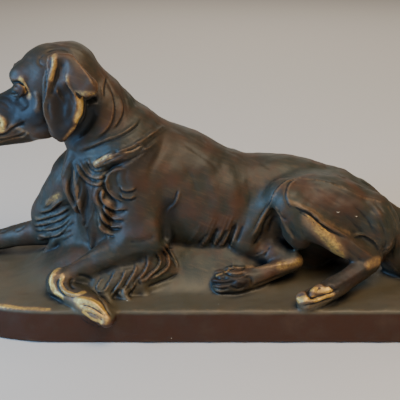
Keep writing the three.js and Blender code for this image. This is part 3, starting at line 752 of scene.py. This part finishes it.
# Near forearm, wrist and paw
groove(5, 1.5, (124, 241), (138, 242), (150, 239), (157, 232))
groove(6, 2, (150, 251), (141, 260), (130, 265), (117, 267), (104, 272), (90, 279))
ridge(6, 1, (150, 247), (130, 254), (108, 260), (84, 268))
ridge(4, 1.6, (68, 264), (57, 270), (51, 280), (53, 291), (62, 298))
groove(3, 1.8, (60, 276), (57, 284), (60, 292), (67, 298))
ridge(3, 2.4, (66, 276), (61, 284), (66, 292), (75, 295), (84, 292))
groove(3, 2, (74, 277), (70, 284), (76, 290))
groove(3, 1.6, (76, 275), (86, 277), (94, 281))
groove(2, 1.4, (78, 305), (88, 306), (98, 311), (107, 318))
groove(2.4, 2, (95, 295), (103, 302), (108, 310), (113, 318))
groove(1.8, 1.2, (84, 312), (92, 314), (101, 320), (104, 325))
ridge(3, 1.3, (74, 299), (86, 300), (97, 305), (106, 314))
edge(3, 1.2, (112, 323), (100, 325), (88, 321), (78, 313))

# Feathering of the near forearm
edge(5, 2.2, (179, 271), (176, 262), (170, 252), (163, 240))
edge(5, 2.6, (146, 281), (159, 274), (168, 266), (168, 257), (161, 246))
edge(4, 2.4, (142, 284), (150, 274), (157, 268), (160, 260), (155, 250))
edge(4, 2.4, (128, 294), (137, 280), (144, 272), (148, 262), (147, 253))
edge(4, 2.2, (121, 295), (128, 282), (134, 272), (137, 262))
edge(4, 2.2, (110, 297), (117, 287), (123, 277), (126, 267))
edge(4, 2, (103, 294), (107, 286), (112, 278), (116, 270))
edge(3, 1.8, (96, 291), (98, 284), (103, 277))
groove(3, 2, (181, 272), (170, 278), (158, 283), (145, 288))
groove(2.5, 1.8, (141, 288), (138, 280), (133, 290), (128, 297))
groove(2.5, 1.6, (124, 297), (119, 290), (114, 299))
tuft(4, 2, 2, (160, 262), (154, 272), (146, 279), (138, 282))
tuft(4, 2, 2, (140, 268), (134, 278), (131, 287), (124, 294))
tuft(4, 1.8, 2, (118, 276), (112, 284), (106, 290), (98, 292))

# Belly, flank and the fold of skin before the thigh
groove(4, 2.8, (220, 226), (214, 237), (209, 249))
groove(3, 2.2, (228, 228), (223, 237), (218, 245))
groove(4.5, 3, (236, 222), (231, 236), (225, 251))
groove(3, 1.8, (243, 224), (240, 233), (236, 243))
groove(3, 1.6, (208, 232), (203, 239), (197, 246))
tuft(7, 2.4, 3, (216, 214), (208, 230), (202, 247))
tuft(6, 2.2, 3, (226, 214), (219, 231), (214, 246))
tuft(8, 2.6, 3, (236, 212), (228, 229), (219, 248))
tuft(5, 2, 2, (242, 216), (237, 230), (231, 247))
tuft(5, 1.6, 2, (204, 222), (196, 234), (187, 245))
edge(5, 1.6, (246, 243), (255, 230), (262, 217), (270, 204), (274, 194), (281, 186), (290, 180),
     (304, 177))
groove(4, 2, (283, 204), (272, 213), (265, 224), (260, 236), (250, 250))
groove(3, 1.2, (276, 214), (271, 224), (268, 234))
edge(5, 1.6, (298, 211), (290, 204), (287, 194), (290, 185), (298, 179))
ridge(9, 0.8, (206, 150), (210, 175), (216, 200), (214, 218))
ridge(9, 0.8, (226, 155), (231, 180), (236, 202), (233, 220))
groove(4, 0.7, (200, 133), (206, 141), (213, 149))
groove(4, 0.7, (252, 157), (262, 163), (272, 170))
groove(3.4, 0.6, (168, 124), (190, 138), (212, 150), (236, 160))
groove(3.4, 0.6, (176, 138), (196, 152), (214, 166), (228, 182))
groove(3.4, 0.5, (220, 148), (242, 158), (258, 172))
groove(3.4, 0.5, (180, 160), (192, 178), (198, 198))
groove(3.4, 0.5, (244, 176), (250, 194), (246, 214))

# Near thigh, shin and hock
edge(7, 3.4, (352, 239), (336, 231), (323, 223), (311, 213), (301, 208), (289, 202))
edge(4, 1.6, (330, 232), (320, 227), (312, 219), (303, 213), (294, 209))
edge(6, 1.8, (381, 251), (374, 241), (363, 235), (351, 236))
ridge(6, 1.5, (300, 210), (315, 226), (330, 240), (341, 254), (344, 264))
tuft(5, 2, 3, (277, 208), (282, 219), (287, 230), (295, 241))
tuft(6, 2, 3, (288, 208), (293, 220), (298, 232), (305, 241))
groove(3, 1.6, (276, 209), (282, 217), (287, 221))
ridge(3, 1.2, (350, 240), (358, 247), (368, 254), (377, 261))
groove(4, 1.2, (345, 246), (355, 256), (366, 264))
ridge(4, 1, (375, 263), (360, 272), (345, 281), (332, 288))
ridge(4, 1.2, (300, 179), (320, 181), (340, 187), (356, 195), (376, 200), (391, 209))
groove(7, 1, (318, 188), (338, 196), (356, 206))
groove(2.2, 1, (320, 172), (325, 174), (330, 176))
groove(2.2, 1, (338, 175), (342, 177), (347, 178))
groove(2.2, 1, (355, 183), (361, 187), (367, 188))
groove(2.2, 1, (360, 181), (366, 184), (370, 187))
groove(2.2, 1, (330, 183), (338, 186), (346, 190))
groove(3.2, 1, (360, 198), (374, 212), (383, 230), (384, 244))
groove(3.2, 1, (350, 202), (366, 218), (375, 236))
groove(3, 0.8, (340, 210), (354, 224), (366, 236))
groove(3, 0.8, (372, 200), (384, 214), (390, 232))
groove(3, 0.6, (306, 186), (326, 196), (344, 208))
groove(3, 0.6, (300, 194), (316, 204), (334, 216))

# Breech and tail
tuft(7, 2, 4, (382, 208), (391, 220), (392, 236), (386, 252))
tuft(6, 2, 3, (370, 222), (379, 231), (382, 243), (379, 252))
tuft(6, 2, 3, (392, 226), (397, 240), (394, 256))
tuft(6, 2, 3, (386, 250), (388, 262), (397, 271))

# Near hind foot
ridge(3.8, 2.6, (326, 287), (318, 286), (313, 291), (314, 295))
ridge(3.4, 2.4, (309, 295), (303, 293), (298, 297), (299, 303))
groove(2.6, 3, (320, 299), (311, 297), (307, 292), (310, 287))
groove(2.4, 2.4, (341, 289), (328, 294), (315, 297), (304, 303))
groove(2.4, 2, (336, 298), (322, 301), (308, 305), (299, 307))
ridge(3.4, 1.6, (332, 292), (320, 300), (306, 301))
groove(2, 1.6, (329, 284), (334, 289), (340, 291))

# Far hind foot, seen on its pads
edge(3.4, 2.2, (250, 268), (240, 270), (231, 270), (222, 275))
groove(2.4, 2.8, (224, 272), (231, 275), (240, 275), (248, 272))
groove(2.4, 2.8, (213, 276), (220, 279), (230, 277))
ridge(3, 1.8, (222, 271), (230, 268), (240, 268), (248, 267))
ridge(3, 1.8, (213, 274), (218, 272), (226, 273))
ridge(3, 1.6, (211, 281), (217, 280), (226, 280))
groove(2.4, 2.8, (210, 284), (222, 284), (234, 282), (239, 277))
groove(2.4, 2.4, (213, 288), (221, 290), (230, 288))
groove(2.2, 2, (228, 285), (238, 289), (246, 286))
groove(2.2, 1.8, (243, 276), (251, 278), (252, 287))
ridge(3.6, 1.6, (232, 280), (241, 282), (248, 282))
ridge(3, 1.4, (300, 262), (280, 265), (262, 268), (240, 270))
groove(4, 1.6, (299, 271), (280, 276), (262, 283), (248, 288))
groove(2.4, 1.2, (264, 258), (267, 251), (271, 245))
edge(3, 1, (253, 257), (262, 253), (271, 248))

# Far side, plainer: neck, hair of the collar, shoulder, ribs, elbow, belly, thigh and breech
for form, *drawing in (
        (groove, 5, 1.8, (-122, 262), (-104, 240), (-96, 214), (-104, 192)),
        (groove, 5, 1.6, (-104, 258), (-88, 236), (-82, 212), (-90, 190)),
        (groove, 5, 1.6, (-84, 240), (-70, 222), (-66, 200), (-74, 180)),
        (tuft, 8, 3, 3, (-84, 196), (-100, 184), (-116, 166), (-124, 148)),
        (tuft, 8, 3, 3, (-92, 170), (-108, 154), (-122, 134), (-128, 114)),
        (tuft, 7, 2.6, 3, (-76, 160), (-92, 142), (-104, 120), (-108, 98)),
        (groove, 7, 1.6, (-50, 200), (-42, 168), (-42, 134), (-50, 104)),
        (ridge, 9, 0.9, (2, 178), (10, 148), (14, 112)),
        (ridge, 9, 0.9, (26, 172), (34, 142), (38, 108)),
        (tuft, 7, 2.4, 3, (-52, 104), (-48, 84), (-50, 62)),
        (tuft, 7, 2.4, 3, (-68, 104), (-66, 84), (-70, 62)),
        (tuft, 6, 2, 3, (-6, 88), (-12, 74), (-22, 58)),
        (tuft, 6, 2, 3, (16, 86), (10, 72), (0, 56)),
        (tuft, 6, 2, 3, (38, 86), (32, 72), (22, 56)),
        (groove, 8, 2.2, (78, 138), (70, 112), (74, 84), (88, 60)),
        (groove, 6, 1.8, (98, 66), (126, 60), (158, 58), (184, 56)),
        (tuft, 8, 2.6, 4, (186, 118), (196, 92), (196, 62)),
        (tuft, 8, 2.4, 4, (168, 104), (178, 80), (178, 56))):
    form(*drawing, view="far side")

# Tail and breech from behind, and the far forepaw's toes
for form, *drawing in (
        (tuft, 8, 2.6, 4, (-20, 112), (-26, 88), (-28, 60)),
        (tuft, 8, 2.6, 4, (-36, 104), (-42, 82), (-44, 58)),
        (tuft, 7, 2.2, 3, (18, 112), (26, 88), (28, 60)),
        (tuft, 8, 2.4, 4, (8, 108), (2, 84), (-12, 62)),
        (tuft, 7, 2.2, 3, (-4, 92), (-14, 72), (-30, 56))):
    form(*drawing, view="tail end")
for form, *drawing in (
        (groove, 3, 1.6, (224, 6), (248, -6), (264, -30), (262, -58)),
        (tuft, 6, 2, 3, (236, -4), (250, -22), (254, -44), (250, -64)),
        (tuft, 6, 2, 3, (256, -40), (252, -60), (242, -80)),
        (groove, 2.4, 2, (-266, 46), (-279, 38), (-292, 27)),
        (groove, 2.4, 2, (-262, 39), (-275, 31), (-288, 21)),
        (groove, 2, 1.4, (-270, 52), (-284, 43), (-294, 34))):
    form(*drawing, view="top")

# The clay's own unevenness, left by the modelling tools: waves that run every way, each kind
# with its length and height. The plinth's foot stays flat.
WAVES = ((46, 0.35), (24, 0.22), (13, 0.12))
WAVES_OF_A_KIND = 7
shuffle = np.random.default_rng(7)
for wave, height in WAVES:
    for i in range(WAVES_OF_A_KIND):
        line = shuffle.normal(size=3)
        tightness = 2 * math.pi / wave / shuffle.uniform(0.8, 1.3)
        turns = skin @ (line / np.linalg.norm(line)) * tightness
        raised += height / 2 * np.sin(turns + shuffle.uniform(0, 6.3))
raised[skin[:, 2] < PLINTH_FOOT] = 0
skin += outward * raised[:, None]
skin[:, 2] = np.maximum(skin[:, 2], 0)


# What the surface's colour follows: how far each point bends outward or inward, how deep it
# lies among the forms around it, and where the statue is rubbed, chipped, ruddy, or darkened
# with patina and painted shade. The hollows and creases are darkened as patina and as painted
# shade.
def around(values):
    # The mean of each point's neighbours.
    total, count = np.zeros_like(values), np.zeros(len(values))
    for i, j in ((0, 1), (1, 2), (2, 3), (3, 0)):
        for k, m in ((i, j), (j, i)):
            np.add.at(total, rings[:, k], values[rings[:, m]])
            np.add.at(count, rings[:, k], 1)
    return (total.T / count).T


def smoothed(values, times_over):
    for i in range(times_over):
        values = (values + around(values)) / 2
    return values


outward = facing_of(skin)
bend = smoothed(((skin - around(skin)) * outward).sum(1) / GRID, 2)
broad = smoothed(bend, 8)

# How full of clay each block and its neighbours are, read a little off the surface; where it is
# full the colour is darkened, as patina and as painted shade
OFF_SURFACE = 9
filled = depth[:-1, :-1, :-1] < 0
filled = filled.reshape(blocks[0], BLOCK, blocks[1], BLOCK, blocks[2], BLOCK).mean((1, 3, 5))
for axis in range(3):
    filled = (np.roll(filled, 1, axis) + filled + np.roll(filled, -1, axis)) / 3
at = (skin + outward * OFF_SURFACE - LOW) / COARSE - 0.5
at = np.clip(at, 0, np.array(blocks) - 1.001)
cell = at.astype(int)
part = at - cell
hollow = np.zeros(len(skin))
for a, b, c in CORNERS:
    share = np.where([a, b, c], part, 1 - part).prod(1)
    hollow += share * filled[tuple((cell + [a, b, c]).T)]

rubbed, chipped, patina_and_shade, ruddy = np.zeros((4, len(skin)))


def rub(radius, amount, *points, both=False, on=rubbed):
    # Marks the clay along a line; the mark is full near the line and fades to its radius.
    fade = 1.4
    for mirrored in (False, True)[:1 + both]:
        places = touch(points, "picture", mirrored)[0]
        if len(places) < 2:
            continue
        near = close_to(places, radius)
        apart = np.sqrt(((skin[near][:, None] - places) ** 2).sum(2).min(1))
        on[near] = np.maximum(on[near], amount * ease(fade - fade * apart / radius))


# Rubbed: the ears' rims, brow, lips and jaw, then the collar and the breast, the near forepaw
# and foreleg, the hind feet, hocks and shin, the folds of the flank, and the plinth's edge
rub(5, 0.85, (54, 55), (54, 66), (51, 79), both=True)
rub(8, 0.85, (80, 97), (81, 108), (78, 120), both=True)
rub(6, 0.6, (76, 93), (86, 94), (97, 94), both=True)
rub(4, 0.6, (82, 119), (74, 128), (65, 138), both=True)
rub(4, 0.55, (74, 93), (69, 87), (67, 76), both=True)
rub(2.5, 0.6, (57, 90), (60, 98), (64, 103))
rub(6, 0.68, (21, 79), (25, 86), (29, 96), both=True)
rub(6, 0.3, (36, 93), (38, 102), (37, 110), both=True)
rub(7, 1, (-3, 118), (2, 122), (1, 129), both=True)
rub(4, 0.5, (8, 124), (20, 129), (28, 133))
rub(3, 0.5, (0, 142), (10, 139), (24, 136))
rub(6, 0.85, (96, 164), (104, 159), (111, 157))
rub(4, 0.5, (121, 152), (130, 151), (140, 145))
rub(4, 0.4, (88, 169), (93, 176), (102, 178))
rub(4, 0.5, (74, 172), (76, 184), (78, 198), (79, 208))
rub(7, 0.6, (48, 203), (54, 199), (59, 195))
rub(4, 0.4, (36, 218), (44, 220), (52, 220))
rub(3.5, 0.5, (107, 174), (108, 184), (112, 190))
rub(3.5, 0.5, (103, 191), (104, 198), (110, 204))
rub(3, 0.45, (108, 209), (113, 214), (119, 218))
rub(5, 1, (70, 263), (58, 269), (51, 280), (55, 291), (62, 298))
rub(4.5, 1, (62, 276), (61, 285), (66, 292), (76, 295), (84, 292))
rub(7, 0.45, (62, 264), (56, 274), (56, 288), (68, 297), (80, 300))
rub(11, 0.78, (80, 303), (90, 307), (98, 312), (104, 319))
rub(6, 1, (76, 300), (86, 300), (97, 304), (106, 312))
rub(4.5, 0.95, (84, 312), (92, 319), (101, 322))
rub(5, 0.25, (106, 248), (86, 257), (70, 264))
rub(8, 0.1, (112, 254), (130, 251), (146, 248))
rub(6, 0.95, (313, 290), (320, 290), (330, 290))
rub(6, 1, (299, 300), (307, 298), (320, 299), (332, 294))
rub(14, 0.7, (310, 220), (322, 232), (333, 245), (341, 258))
rub(9, 0.7, (369, 265), (375, 262), (380, 261))
rub(9, 0.65, (302, 261), (292, 264), (280, 266))
rub(6, 0.5, (275, 266), (262, 267), (248, 268))
rub(3.5, 0.8, (226, 272), (233, 269), (240, 269))
rub(3.5, 0.7, (215, 276), (221, 274))
rub(5, 0.42, (291, 202), (300, 206), (312, 211), (326, 221), (349, 233))
rub(4, 0.35, (276, 208), (283, 222), (292, 236))
rub(2.5, 0.4, (258, 225), (266, 211), (274, 196), (284, 184), (300, 178))
rub(3, 0.35, (300, 179), (320, 181), (342, 188), (360, 197), (380, 202))
rub(3, 0.35, (388, 207), (395, 218), (398, 230))
rub(5, 0.95, (-30, 303), (0, 306), (25, 308), (48, 309))
rub(3, 0.38, (112, 310), (160, 310), (230, 310), (290, 310))
rub(3, 0.3, (330, 310), (370, 310), (420, 309))

# The darkest patina together with painted shade: on the sides of the head and in the ears'
# leaves, with painted shadow in the cheek hollows and behind the ears
for mark in (
        (22, 0.9, (6, 104), (18, 112), (34, 116)),
        (20, 0.8, (26, 96), (34, 108), (42, 122)),
        (20, 0.9, (62, 96), (62, 112), (64, 130)),
        (24, 0.6, (92, 108), (88, 124), (74, 140)),
        # painted shadow in the hollow behind the ear
        (16, 1, (94, 103), (91, 116), (84, 128), (74, 139)),
        # a darker, cooler tone painted on the forehead in place of a cool reflection
        (28, 0.3, (26, 62), (32, 74), (44, 84))):
    rub(*mark, on=patina_and_shade, both=True)

# Darker patina together with painted shade on the breast, far hind foot, neck, back, shoulder,
# legs and near thigh, with painted shade under the collar and behind the near elbow
for mark in (
        (22, 0.6, (78, 160), (80, 190), (84, 225)),
        (11, 0.8, (214, 280), (228, 283), (244, 283)),
        (18, 0.5, (150, 150), (140, 160), (120, 166)),
        (14, 0.8, (169, 205), (168, 225), (172, 240)),
        (16, 0.6, (364, 268), (350, 278), (336, 286)),
        # the top of the back painted darker against the light from above
        (44, 0.22, (128, 112), (165, 128), (205, 148), (250, 158)),
        (30, 0.2, (318, 190), (330, 200), (345, 212)),
        (34, 0.3, (122, 176), (124, 200), (128, 226)),
        (20, 0.35, (132, 138), (120, 146), (104, 150)),
        (26, 0.3, (84, 256), (108, 250), (136, 248))):
    rub(*mark, on=patina_and_shade)

# Redder patches on what stands out most
for mark in (
        (34, 1, (190, 208), (208, 214), (226, 212)),
        (20, 0.8, (108, 84), (118, 100), (119, 122)),
        (12, 0.9, (167, 170), (170, 174), (172, 180)),
        (30, 0.8, (296, 192), (316, 202), (338, 214)),
        (14, 0.8, (303, 222), (313, 232), (324, 244)),
        (26, 0.6, (150, 190), (152, 212), (150, 232))):
    rub(*mark, on=ruddy)

# Small chips, pale inside
CHIP = 2.8
for u, v in ((338, 212), (355, 216), (222, 306), (218, 304), (170, 338), (322, 342), (128, 301),
             (63, 254)):
    rub(CHIP, 1, (u - 1, v), (u + 1, v), on=chipped)

statue_mesh = bpy.data.meshes.new("hunting_dog_bronze")
statue_mesh.from_pydata((skin / MM_PER_METRE).tolist(), [], rings.tolist())
for name, values in (("bend", bend), ("broad", broad), ("hollow", hollow), ("rubbed", rubbed),
                     ("chipped", chipped), ("patina_and_shade", patina_and_shade), ("ruddy", ruddy)):
    written = statue_mesh.attributes.new(name, "FLOAT", "POINT")
    written.data.foreach_set("value", values.astype(np.float32))
statue_mesh.update()
statue = bpy.data.objects.new("hunting_dog_bronze", statue_mesh)
bpy.context.scene.collection.objects.link(statue)

# The cast is thinned where it is flat, to about two triangles for each of these faces.
FACES_KEPT = 95000
bpy.ops.object.select_all(action="DESELECT")
statue.select_set(True)
bpy.context.view_layer.objects.active = statue
thinner = statue.modifiers.new("thin", "DECIMATE")
thinner.ratio = min(1.0, FACES_KEPT / len(rings))
bpy.ops.object.modifier_apply(modifier="thin")
bpy.ops.object.shade_smooth()

# The bronze is patinated dark brown, with redder and greener patches, browner on the ridges
# and rubbed through to yellow metal where it is touched. It is almost black in the hollows and
# creases, as patina and as painted shade. The top of the plinth is olive and its sides are
# oxblood.
UMBER = (0.052, 0.035, 0.021, 1)
RUSSET = (0.085, 0.032, 0.015, 1)
VERDIGRIS = (0.030, 0.033, 0.023, 1)
OLIVE = (0.11, 0.09, 0.054, 1)
OXBLOOD = (0.048, 0.0145, 0.005, 1)
BLACK = (0.005, 0.007, 0.009, 1)
TAN = (0.22, 0.125, 0.058, 1)
GOLD = (0.66, 0.42, 0.115, 1)
CREAM = (0.62, 0.55, 0.42, 1)

# The sizes of the grain, in metres
PATCH = 0.09
SPOT = 0.022
FLAKE = 0.007
PIT = 0.0035
SPECK = 0.0016
STREAK = (0.022, 0.004, 0.0035)
STREAK_SLOPE = math.radians(24)

bronze = bpy.data.materials.new("patinated_bronze")
bronze.use_nodes = True
nodes_of, links = bronze.node_tree.nodes, bronze.node_tree.links
shader = nodes_of["Principled BSDF"]
place = nodes_of.new("ShaderNodeTexCoord").outputs["Object"]


def attribute(name):
    node = nodes_of.new("ShaderNodeAttribute")
    node.attribute_name = name
    return node.outputs["Fac"]


def grain(size, detail, roughness=0.55, where=place):
    # Uneven patches of about the size given; the value runs about 0.5.
    node = nodes_of.new("ShaderNodeTexNoise")
    node.inputs["Scale"].default_value = 1 / size
    node.inputs["Detail"].default_value = detail
    node.inputs["Roughness"].default_value = roughness
    links.new(where, node.inputs["Vector"])
    return node.outputs["Fac"]


def feed(value, socket):
    if isinstance(value, bpy.types.NodeSocket):
        links.new(value, socket)
    else:
        socket.default_value = value


def reckon(operation, a, b):
    node = nodes_of.new("ShaderNodeMath")
    node.operation = operation
    feed(a, node.inputs[0])
    feed(b, node.inputs[1])
    return node.outputs[0]


def plus(a, b):
    return reckon("ADD", a, b)


def times(a, b):
    return reckon("MULTIPLY", a, b)


def larger(a, b):
    return reckon("MAXIMUM", a, b)


def swing(value, share):
    # A grain's share above or below nothing.
    return times(plus(value, -0.5), share)


def between(value, low, high):
    # 0 below low, 1 above high and a soft step between.
    node = nodes_of.new("ShaderNodeMapRange")
    node.interpolation_type = "SMOOTHSTEP"
    feed(value, node.inputs["Value"])
    node.inputs["From Min"].default_value = low
    node.inputs["From Max"].default_value = high
    return node.outputs["Result"]


def blend(share, a, b):
    node = nodes_of.new("ShaderNodeMix")
    node.data_type = "RGBA"
    feed(share, node.inputs["Factor"])
    feed(a, node.inputs[6])
    feed(b, node.inputs[7])
    return node.outputs[2]


split = nodes_of.new("ShaderNodeSeparateXYZ")
links.new(place, split.inputs[0])
height = split.outputs["Z"]
patches, spots, pits = grain(PATCH, 4), grain(SPOT, 4), grain(PIT, 2)

# Greenish and brown patches, russet where the form stands out
color = blend(between(patches, 0.38, 0.66), VERDIGRIS, UMBER)
russet = between(plus(spots, times(attribute("broad"), 1.5)), 0.44, 0.78)
color = blend(times(russet, 0.55), color, RUSSET)
ruddy_spots = times(attribute("ruddy"), between(spots, 0.3, 0.6))
color = blend(times(ruddy_spots, 0.5), color, RUSSET)

# The plinth's top, from its edge up to the dog's feet, and the plinth's sides
level = times(between(height, 0.062, 0.044), between(height, 0.0345, 0.038))
color = blend(times(level, 0.65), color, OLIVE)
side = times(between(height, 0.0375, 0.034), between(spots, 0.9, 0.4))
color = blend(times(side, 0.95), color, OXBLOOD)

# Brush streaks along the dog's coat, tan on the ridges, and black in the hollows and creases,
# which is dark patina together with painted shade
combed = nodes_of.new("ShaderNodeMapping")
combed.vector_type = "TEXTURE"
combed.inputs["Rotation"].default_value = (0, STREAK_SLOPE, 0)
combed.inputs["Scale"].default_value = STREAK
links.new(place, combed.inputs["Vector"])
streaks = grain(1, 4, 0.6, combed.outputs["Vector"])
streaks = times(streaks, between(height, 0.045, 0.06))
color = blend(times(between(streaks, 0.45, 0.75), 0.14), color, TAN)
ridged = between(plus(attribute("bend"), times(pits, 0.06)), 0.08, 0.2)
color = blend(times(ridged, 0.38), color, TAN)
# Painted shade together with dark patina: black where a point is enclosed by the forms around it,
# in creases, and where patina and painted shade are marked
deep = between(attribute("hollow"), 0.2, 0.6)
creased = between(times(attribute("bend"), -1), 0.01, 0.1)
dark = larger(larger(deep, times(creased, 0.85)), attribute("patina_and_shade"))
color = blend(times(dark, 0.93), color, BLACK)

# Rubbed places, tan at their rims and bare metal within, and the chips
touched = plus(attribute("rubbed"), times(creased, -0.7))
tanned = between(plus(touched, swing(pits, 0.3)), 0.05, 0.75)
worn = between(plus(touched, plus(swing(pits, 0.6), swing(spots, 0.9))), 0.5, 1)
flakes = between(grain(FLAKE, 3), 0.4, 0.56)
bare = times(worn, plus(times(flakes, 0.5), 0.5))
color = blend(times(tanned, 0.8), color, TAN)
color = blend(bare, color, GOLD)
color = blend(between(times(attribute("chipped"), pits), 0.44, 0.52), color, CREAM)
links.new(color, shader.inputs["Base Color"])

# Satin, more metallic where it is bare, with a fine uneven skin
links.new(plus(0.2, times(bare, 0.6)), shader.inputs["Metallic"])
links.new(plus(0.42, times(spots, 0.2)), shader.inputs["Roughness"])
shader.inputs["Specular IOR Level"].default_value = 0.35
bump = nodes_of.new("ShaderNodeBump")
bump.inputs["Strength"].default_value = 0.35
bump.inputs["Distance"].default_value = 0.0006
fine = plus(times(grain(SPECK, 2), 0.5), plus(times(pits, 0.6), streaks))
links.new(fine, bump.inputs["Height"])
links.new(bump.outputs["Normal"], shader.inputs["Normal"])
statue.data.materials.append(bronze)

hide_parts("hunting_dog_statue")
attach(statue, "root")

# A plain pale floor, which the statue stands on
FLOOR_SIZE = 6
bpy.ops.mesh.primitive_plane_add(size=FLOOR_SIZE, location=(0, 1, 0))
floor = bpy.context.object
floor.name = "floor"
pale = bpy.data.materials.new("pale_floor")
pale.use_nodes = True
pale_shader = pale.node_tree.nodes["Principled BSDF"]
pale_shader.inputs["Base Color"].default_value = (0.62, 0.58, 0.52, 1)
pale_shader.inputs["Roughness"].default_value = 0.7
floor.data.materials.append(pale)


# Soft light: a cool window at the front left, a warm ceiling light at the front right, a pale
# wall behind, and the room all round. Places, aims and sizes are in metres, power in watts.
def soft_light(name, place, aim, size, power, colour):
    lamp = bpy.data.lights.new(name, "AREA")
    lamp.size, lamp.energy, lamp.color = size, power, colour
    light = bpy.data.objects.new(name, lamp)
    light.location = place
    direction = np.array(aim) - np.array(place)
    light.rotation_euler = (math.atan2(math.hypot(*direction[:2]), -direction[2]), 0,
                            math.atan2(direction[1], direction[0]) - math.pi / 2)
    bpy.context.scene.collection.objects.link(light)


soft_light("window", (-1.4, -0.6, 0.65), (-0.15, 0, 0.18), 0.8, 42, (0.22, 0.53, 1.0))
soft_light("ceiling", (0.45, -0.85, 1.7), (0.08, 0, 0.1), 1.1, 37, (1.0, 0.82, 0.6))
soft_light("wall", (0.2, 1.6, 1.2), (0, 0, 0.1), 1.6, 10, (1.0, 0.93, 0.82))
world = bpy.data.worlds.new("room")
bpy.context.scene.world = world
world.use_nodes = True
backdrop = world.node_tree.nodes["Background"]
backdrop.inputs["Color"].default_value = (0.95, 0.83, 0.70, 1)
backdrop.inputs["Strength"].default_value = 0.3
